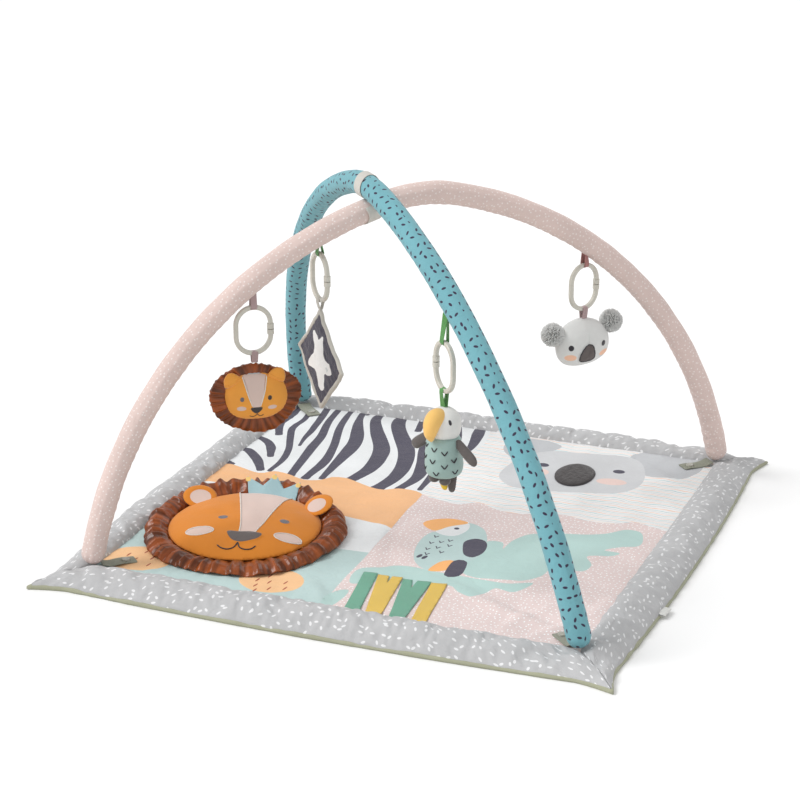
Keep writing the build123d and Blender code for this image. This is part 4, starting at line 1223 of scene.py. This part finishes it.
# ------------------------------------------------------------------ hanging toys
def stuffed(name, axes, outline, depths, prints, base, body, nodes, pitch, lumps=0.5, seam=0.0):
    """Stuffed flat-cut piece, two faces sewn at the outline; returns what lays a line on its front.

    A print is its outline, its finish and how far it stands out.
    """
    outline = np.asarray(outline, float)
    flat, faces, top = cut_sheet(outline, [p for p, _, _ in prints], pitch)
    puff = bulge(reach_of(outline)(flat))
    raised = raised_by(flat, faces, top, [rise for _, _, rise in prints])
    lump = lumps * swell(flat[:, 0], flat[:, 1], 26, len(name), 2) * puff
    front = depths[0] * puff + raised + lump - seam * np.exp(-(flat[:, 0] / 1.1) ** 2) * puff
    back = -depths[1] * puff - lump
    k = len(flat)
    both = faces + [tuple(k + i for i in f[::-1]) for f in faces]
    materials, which = finish_numbers(base, [m for _, m, _ in prints], top)
    which += [0] * len(faces)
    points = np.vstack([placed(axes, np.column_stack([flat, depth])) for depth in (front, back)])
    uv = at_corners(np.vstack([flat, flat]), both)
    made = piece(name, points, both, materials, body, nodes, which, uv, merge=0.01)

    def lifted(line, lift=0.5):
        line = np.asarray(line, float)
        puff = bulge(reach_of(outline)(line))
        height = depths[0] * puff + lumps * swell(line[:, 0], line[:, 1], 26, len(name), 2) * puff
        return placed(axes, np.column_stack([line, height + lift]))
    return lifted


def gathered_ring(name, axes, half_w, half_h, wide_x, wide_y, thick, body, nodes, seed, folds=34):
    """Gathered satin mane round a hanging head."""
    around, across = 200, 18
    a = np.arange(around) * 2 * pi / around
    w = np.linspace(0, 1, across)
    fold = np.sin(folds * a + 1.8 * np.sin(3 * a + seed) + 1.3 * np.sin(8 * a))
    fold = fold + 0.5 * np.sin(folds * 1.7 * a + seed)
    reach = np.sin(pi * w) ** 0.8
    wave = fold[:, None] * reach[None]
    grow = 1 + 0.05 * np.sin(3 * a + seed) + 0.03 * np.sin(5 * a)
    low_point = 0.5 * np.exp(-(((a + 1.35 + pi) % (2 * pi) - pi) / 0.5) ** 2)
    grow = grow + low_point - 0.22 * np.clip(np.sin(a), 0, 1) ** 2
    out_x = half_w + wide_x * reach[None] * grow[:, None] + 0.8 * wave
    out_y = half_h + wide_y * reach[None] * grow[:, None] + 0.8 * wave
    front = thick / 2 * np.cos(pi * w)[None] * (0.75 + 0.25 * reach[None]) + 1.6 * wave * np.cos(pi * w)[None]
    local = np.stack([out_x * np.cos(a)[:, None], out_y * np.sin(a)[:, None], front], -1)
    co, faces, loops = settled_ring(local.transpose(1, 0, 2), [0, -1], grow=0.05, cap=2.5, frames=12)
    made = piece(name, placed(axes, co), faces, brown_satin, body, nodes, uv=loops, round_off=1,
                 merge=0.01)


def build_lion():
    """Flat lion head in a satin mane."""
    heading, body = 36, "lion_toy"
    centre = box_mm("lion_head")[2]
    axes = frame_of(centre, heading)
    gathered_ring("lion_mane_ring", axes, 44, 33, 25, 19, 15, body, ["lion_mane"], 2.0)
    face = smooth_loop([(-48, 2), (-46, 22), (-36, 33), (-16, 37), (4, 38), (24, 36), (40, 30), (50, 8),
                        (51, -10), (43, -26), (24, -37), (0, -39), (-24, -36), (-42, -24)], 2.5)
    wedge = np.vstack([smooth_line([(-19, 34), (-2, 37), (16, 33)], 3), smooth_line([(11, 6), (5, -15)], 3),
                       smooth_line([(-6, -15), (-12, 6)], 3)])
    nose = smooth_loop([(-9, -15), (0, -14.5), (8, -15), (7, -20), (0, -25), (-7, -21)], 1.5)
    lifted = stuffed("lion_face", axes, face, (17, 17), [
        (wedge, blush_velour, 0.0), (nose, dark_plush, 1.0), (ellipse(-22, -1, 3.0, 3.8), grey_thread, 0.7),
        (ellipse(20, -1, 3.2, 3.8), dark_plush, 0.7), (ellipse(-23, -16, 7, 3.6), blush_velour, 0.2),
        (ellipse(24, -17, 7, 3.4), blush_velour, 0.2), (ellipse(-2, 37.0, 14, 2.0), silver_felt, 0.8)],
        toy_orange, body, ["lion_head"], 2.4)
    for side, edge, mouth in (
            ("left", [(-20, 33), (-13, 6), (-6.5, -14)], [(0, -25), (-1, -29), (-6, -31), (-11, -29)]),
            ("right", [(17, 32), (11.5, 6), (5.5, -14)], [(0, -25), (3, -29), (7, -31), (11, -28)])):
        thread_line(f"lion_edge_{side}", lifted(smooth_line(edge, 2), 0.2), 0.9, white_thread, body, dashes=2.2)
        thread_line(f"lion_mouth_{side}", lifted(smooth_line(mouth, 1.2), 0.3), 0.6, dark_thread, body,
                    dashes=2.5)
    for side, x, y, turn in (("left", -37, 29, 26), ("right", 34, 33, -26)):
        c, s = cos(radians(turn)), sin(radians(turn))
        _, right, up, front = axes
        ear_axes = (placed(axes, [[x, y, 9]])[0], c * right + s * up, -s * right + c * up, front)
        ear = smooth_loop([(-13, -8), (-11, 3), (-3, 10), (5, 10), (12, 2), (13, -8), (0, -10)], 2)
        stuffed(f"lion_ear_{side}", ear_axes, ear, (4.5, 3.5), [], toy_orange, body,
                ["lion_ears"] if side == "left" else (), 2.6)
        crease = np.column_stack(
            [np.linspace(-11, 11, 12), np.full(12, -5.0) + 1.5 * np.linspace(-1, 1, 12)**2, np.full(12, 3.6)])
        thread_line(f"lion_ear_fold_{side}", placed(ear_axes, crease), 0.7, toy_orange, body)


CORNERS = np.array([(1, 0), (0, 1), (-1, 0), (0, -1)])  # of the pennant, from its centre


def build_pennant():
    """Square cloth hung by one corner: printed front, plain back and a binding round both."""
    body, heading = "pennant_toy", -42
    low, high, centre = box_mm("pennant_binding")
    axes = frame_of(centre, heading)
    half = (high[2] - low[2]) / 2
    inner = half - 8.5
    loop = half * CORNERS
    star = smooth_loop([(-18, 41), (-10, 35), (-3, 30), (4, 34), (13, 40), (17, 35), (17, 9), (28, 3), (39, 2),
                        (43, -11), (30, -17), (16, -20), (13, -42), (5, -49), (-3, -44), (-10, -24), (-26, -21),
                        (-38, -20), (-37, -11), (-19, 9), (-22, 24), (-24, 36)], 2.5)

    def crinkle(xy):
        return 0.9 * swell(xy[:, 0], xy[:, 1], 34, 8, 3) + 1.6 * np.sin(xy[:, 1] / 31) * np.sin(xy[:, 0] / 40)
    outline = straight_loop(inner * CORNERS, 26)
    small = smooth_loop([(27, -1), (29, -6), (34, -7), (30, -11), (31, -15), (27, -12), (23, -15),
                         (24, -11), (20, -7), (25, -6)], 1.5)
    flat, faces, top = cut_sheet(outline, [star, small], 3.0)
    which = [0 if i < 0 else i + 1 for i in top]
    depth = 1.2 + 1.6 * bulge(np.abs(flat).sum(1) / inner, 4, 0.6) + crinkle(flat)
    piece("pennant_cloth_front", placed(axes, np.column_stack([flat, depth])), faces,
          [slate_cloth, star_cloth, star_grey], body, ["pennant_front"], which,
          at_corners(flat, faces))
    plain, plain_faces, _ = cut_sheet(outline, [], 4.0)
    depth = -1.2 - 1.6 * bulge(np.abs(plain).sum(1) / inner, 4, 0.6) + crinkle(plain)
    piece("pennant_cloth_back", placed(axes, np.column_stack([plain, depth])), [f[::-1] for f in plain_faces],
          slate_cloth, body, ["pennant_back", "pennant_film"], uv=at_corners(plain, plain_faces))
    rows = []
    profile = [(8.8, 1.4), (7.0, 2.7), (3.6, 3.1), (0.8, 2.3), (0, 0),
               (0.8, -2.3), (3.6, -3.1), (7.0, -2.7), (8.8, -1.4)]  # inset and depth
    for i in range(len(loop)):
        for t in np.linspace(0, 1, 26, endpoint=False):
            point = loop[i] * (1 - t) + loop[(i + 1) % len(loop)] * t
            row = []
            for inset, depth in profile:
                spot = point * (1 - inset * 1.15 / half)
                wavy = crinkle(np.array([spot]))[0] + 0.35 * sin(8 * pi * t + i)
                row.append((spot[0], spot[1], depth + wavy))
            rows.append(row)
    rows = np.array(rows + rows[:1])
    co, faces, loops = lattice(rows, wrap=True, uv=along_uv(rows, True))
    made = piece("pennant_edge_binding", placed(axes, co), faces, greige_ribbon, body, ["pennant_binding"],
                 uv=loops, merge=0.01, round_off=1)


def turned_form(name, axes, profile, material, body, nodes, lumps=0.5, seed=1, around=40):
    """Stuffed round form, from (height, radius) pairs along its own up direction."""
    line = smooth_line(profile, 2.5)
    a = np.arange(around) * 2 * pi / around
    h = line[:, 0][:, None] + 0 * a[None]
    r = np.maximum(line[:, 1], 0.2)[:, None] * (1 + 0 * a[None])
    r = r + lumps * swell(h, 12 * np.sin(a)[None] + 0 * h, 24, seed, 2) * np.clip(r / 8, 0, 1)
    co, faces, _ = lattice(placed(axes, np.stack([r * np.cos(a), h, -r * np.sin(a)], -1)), wrap=True, caps=True)
    made = piece(name, co, outward(co, faces), material, body, nodes)


def build_toucan():
    """Round toucan with stitched feathers, a curved bill, wings, feet and two tail tongues."""
    body, heading = "toucan_toy", -20
    low, _, centre = box_mm("toucan_body")
    axes = frame_of((centre[0], centre[1], low[2]), heading)
    barrel = [(0.4, 2), (0.6, 16), (4, 25), (14, 27.5), (34, 27.2), (52, 25.5), (60, 22), (62, 14)]
    turned_form("toucan_barrel", axes, barrel, aqua_velour, body, ["toucan_body"], lumps=0.7,
                seed=4)
    head_low, _, head_centre = box_mm("toucan_head")
    head_axes = frame_of((head_centre[0], head_centre[1], head_low[2]), heading)
    ball = [(-3, 18), (2, 22), (9, 24.6), (18, 25.0), (28, 22.5), (36, 16.5), (41, 9), (42.6, 1)]
    turned_form("toucan_ball", head_axes, ball, white_velour, body, ["toucan_head"], seed=6)
    feathers = ((8, 46), (42, 42), (-30, 49), (4, 28), (42, 22), (-32, 32), (16, 10), (-34, 14), (72, 30),
                (-66, 40), (-64, 22), (76, 12))  # heading and height of each stitched V
    for number, (turn, up) in enumerate(feathers):
        for part, (x0, z0, x1, z1) in enumerate(((-4.6, 3.4, 0.4, -2.8), (0.4, -2.8, 5.0, 4.2))):
            line = []
            for t in np.linspace(0, 1, 6):
                x, z = x0 + (x1 - x0) * t, z0 + (z1 - z0) * t
                b = radians(turn) + x / 27.0
                r = np.interp(up + z, [0, 4, 14, 34, 52, 60], [16, 25, 27.5, 27.2, 25.5, 22]) + 0.5
                line.append((r * sin(b), up + z, r * cos(b)))
            thread_line(f"toucan_stitch_{number}_{part}", placed(axes, np.array(line)), 1.05, dark_thread, body, 6)
    for side in (-1, 1):
        b = radians(62 * side)
        spot = placed(head_axes, [[23.9 * sin(b), 26, 23.9 * cos(b)]])[0]
        out = spot - placed(head_axes, [[0, 18, 0]])[0]
        out /= np.linalg.norm(out)
        right = np.cross(np.array([0, 0, 1.0]), out)
        right /= np.linalg.norm(right)
        eye_axes = (spot - out * 1.2, right, np.cross(out, right), out)
        stuffed(f"toucan_eye_{'left' if side < 0 else 'right'}", eye_axes,
                ellipse(0, 0, 2.6, 4.2, 12 * side, 20), (2.0, 1.0), [], dark_thread, body, (),
                1.6, lumps=0)
    _, right, up, front = head_axes
    spine = smooth_line([(0, 25, 9), (0, 29, 18), (0, 23, 26.5), (0, 9, 30), (0, -4, 27)], 2.0)
    t = np.linspace(0, 1, len(spine))
    wide = np.interp(t, [0, 0.25, 0.5, 0.75, 0.92, 1], [13.5, 13.5, 12.0, 9.0, 4.5, 0.6])
    deep = np.interp(t, [0, 0.25, 0.5, 0.75, 0.92, 1], [16, 15, 12.5, 9.0, 4.0, 0.6])
    tangent = np.gradient(spine, axis=0)
    tangent /= np.linalg.norm(tangent, axis=1, keepdims=True)
    across = np.array([1.0, 0, 0])
    over = np.cross(across, tangent)
    a = np.arange(32) * 2 * pi / 32
    rows = spine[:, None] + (wide[:, None] * np.cos(a))[..., None] * across + (
        deep[:, None] * np.sin(a))[..., None] * over[:, None]
    co, faces, _ = lattice(rows, wrap=True, caps=True)
    co = placed(head_axes, co)
    made = piece("toucan_bill", co, outward(co, faces), beak_velour, body, ["toucan_beak"],
                 round_off=1)
    wing = smooth_loop([(-20, -6), (-18, 6), (-4, 8), (14, 8.5), (24, 6), (27, -1), (22, -7.5), (8, -9),
                        (-8, -8)], 2.2)
    tongue = smooth_loop([(-6, 15), (6, 15), (7, 0), (6.5, -12), (2, -17), (-4, -16), (-7, -8), (-6.5, 4)], 2)
    foot = [(-7.5, 0.5), (-6.5, 5), (-3, 8), (2, 8), (6, 5)]
    for side in (-1, 1):
        name = "left" if side < 0 else "right"
        root = placed(axes, [[side * 25, 56, 0]])[0]
        c, s = cos(radians(36)), sin(radians(36))
        way = side * c * right - s * up
        other = side * s * right + c * up
        wing_axes = (root + way * 17, way, other, front)
        stuffed(f"toucan_wing_{name}", wing_axes, wing, (4.8, 4.8), [], grey_velour, body,
                ["toucan_wings"] if side < 0 else (), 2.4)
        foot_axes = (placed(axes, [[side * 10, -3, 9]])[0], right, up, front)
        turned_form(f"toucan_foot_{name}", foot_axes, foot, grey_velour, body,
                    ["toucan_feet"] if side < 0 else (), lumps=0.4, seed=9, around=24)
        lean = 0.12 * side
        tail_axes = (placed(axes, [[side * 8.5, -11, -9]])[0], right, up + lean * right, front)
        stuffed(f"toucan_tail_{name}", tail_axes, tongue, (3.6, 3.6), [],
                tail_velour if side < 0 else grey_velour, body, ["toucan_tail"] if side < 0 else (),
                2.4)


def build_koala():
    """Koala head with two pompom ears."""
    body, heading = "koala_toy", 46
    centre = box_mm("koala_head")[2]
    axes = frame_of(centre, heading)
    head = 1.06 * smooth_loop([(-44, -4), (-40, 14), (-27, 29), (-8, 36.5), (10, 36), (28, 28), (41, 12),
                               (44, -6), (38, -22), (20, -33), (-4, -37), (-26, -34), (-40, -22)], 2.5)
    nose = smooth_loop([(-4, 1), (5, 0), (9, -9), (11, -20), (6, -26), (-7, -27), (-15, -24), (-13, -11)], 1.6)
    prints = [(ellipse(-29, -19, 9, 5.4, -6), peach_velour, 0.2),
              (ellipse(30, -17, 9, 5.2, 10), peach_velour, 0.2), (nose, nose_velour, 2.0),
              (ellipse(-30, -2, 4.0, 4.8), dark_thread, 0.9),
              (ellipse(27, 0, 4.0, 4.8), dark_thread, 0.9)]
    lifted = stuffed("koala_head_plush", axes, head, (24, 24), prints, koala_plush, body, ["koala_head"],
                     2.4, lumps=0.6, seam=0.9)
    thread_line("koala_nose_edge", lifted(np.vstack([nose, nose[:1]]), 1.6), 1.1, dark_thread, body, dashes=2.4)
    seam = np.column_stack([np.full(24, 0.4), np.linspace(3, 34, 24)])
    thread_line("koala_head_seam", lifted(seam, -0.6), 0.4, koala_plush, body, dashes=2.4)
    for side in (-1, 1):
        name = "left" if side < 0 else "right"
        spot = placed(axes, [[side * 52, 22 + side * 5, -2]])[0]
        fluffy(f"koala_pompom_{name}", spot, 19.5, side, body,
               ["koala_ears", "koala_nose"] if side < 0 else ())


def fluffy(name, centre, radius, side, body, nodes):
    """Yarn pompom: a soft darker core, painted shade deep among the strands, under short tapered strands."""
    rng = np.random.default_rng(5 + side)
    n = 1500
    up = 1 - 2 * (np.arange(n) + 0.5) / n
    turn = np.arange(n) * pi * (3 - 5**0.5)
    out = np.stack([np.sqrt(1 - up**2) * np.cos(turn), np.sqrt(1 - up**2) * np.sin(turn), up], -1)
    out += rng.normal(0, 0.1, out.shape)
    out /= np.linalg.norm(out, axis=1, keepdims=True)
    length = radius * rng.uniform(0.9, 1.02, n)
    points, faces = [], []
    for i in range(n):
        d = out[i]
        a = np.cross(d, [0.3, 0.5, 0.8])
        a /= np.linalg.norm(a)
        b = np.cross(d, a)
        curl = (a * rng.uniform(-1, 1) + b * rng.uniform(-1, 1)) * 1.6
        k = len(points)
        for share, thick in ((0.72, 1.0), (0.9, 1.0), (1.0, 0.55)):
            middle = centre + d * length[i] * share + curl * (share - 0.72) * 3
            for j in range(3):
                angle = j * 2 * pi / 3
                points.append(middle + thick * (cos(angle) * a + sin(angle) * b))
        for ring in (0, 3):
            for j in range(3):
                start, turned_on = k + ring + j, k + ring + (j + 1) % 3
                faces.append((start, turned_on, turned_on + 3, start + 3))
        faces.append((k + 6, k + 7, k + 8))
        faces.append((k + 2, k + 1, k))
    made = piece(name, np.array(points), faces, pompom_yarn, body, nodes)
    # Core in the darker finish: painted shade between the strands.
    heights = [(radius * up, max(0.5, radius * wide)) for up, wide in
               ((-0.8, 0), (-0.6, 0.53), (0, 0.8), (0.6, 0.53), (0.8, 0))]
    turned_form(f"{name}_core", frame_of(centre, 0), heights, pompom_shade_core, body, (), lumps=0.4,
                around=24)


build_sleeve("pink", pink_sleeve_cloth, 0.9, 3)
build_sleeve("blue", blue_sleeve_cloth, -0.7, 8)
build_strap()
build_link_ribbons()
build_lion()
build_pennant()
build_toucan()
build_koala()
for inner_node, finish_material in (
    ("pink_foam", foam_mat), ("blue_foam", foam_mat), ("pink_rod", rod_plastic), ("blue_rod", rod_plastic),
    ("toucan_rattle", rod_plastic), ("koala_squeaker", rod_plastic),
):
    dress(inner_node, finish_material)


# ------------------------------------------------------------------ floor, light and camera
def build_stage():
    """Plain pale floor and soft studio light."""
    floor_mesh = bpy.data.meshes.new("floor")
    floor_mesh.from_pydata([(-60, -60, 0), (60, -60, 0), (60, 60, 0), (-60, 60, 0)], [], [(0, 1, 2, 3)])
    floor = bpy.data.objects.new("floor", floor_mesh)
    scene.collection.objects.link(floor)
    material, tree, shader = blank("floor", (0.93, 0.93, 0.93, 1), 0.9)
    speckle = add(tree, "TexNoise", {"Scale": 30.0, "Detail": 2.0}).outputs["Fac"]
    tree.links.new(grey_of(tree, ranged(tree, speckle, 0.0, 1.0, 0.9, 0.95)), shader.inputs["Base Color"])
    floor_mesh.materials.append(material)
    world = bpy.data.worlds.new("studio")
    scene.world = world
    world.use_nodes = True
    world.node_tree.nodes["Background"].inputs[0].default_value = (1, 1, 1, 1)
    world.node_tree.nodes["Background"].inputs[1].default_value = 0.64
    for name, kind, place, power, size in (
        ("key", "SUN", (-2.2, -1.3, 3.0), 1.95, 0.5),
        ("fill", "AREA", (2.6, -2.2, 1.8), 8, 2.4),
        ("rim", "AREA", (0.6, 2.8, 2.4), 16, 2.0),
    ):
        lamp = bpy.data.lights.new(name, kind)
        lamp.energy = power
        if kind == "SUN":
            lamp.angle = size
        else:
            lamp.size = size
        held = bpy.data.objects.new(name, lamp)
        held.location = place
        held.rotation_euler = (Vector((0, 0, 0.2)) - Vector(place)).to_track_quat("-Z", "Y").to_euler()
        scene.collection.objects.link(held)


def build_camera():
    """Camera at the photograph's angle."""
    lens = bpy.data.cameras.new("camera")
    lens.lens, lens.sensor_width = 101.68, 36
    held = bpy.data.objects.new("camera", lens)
    held.location = (1.1923, -3.0724, 1.4122)
    held.rotation_euler = (radians(69.91), 0, radians(21.815))
    scene.collection.objects.link(held)
    scene.camera = held


build_stage()
build_camera()
scene.view_settings.view_transform = "Standard"
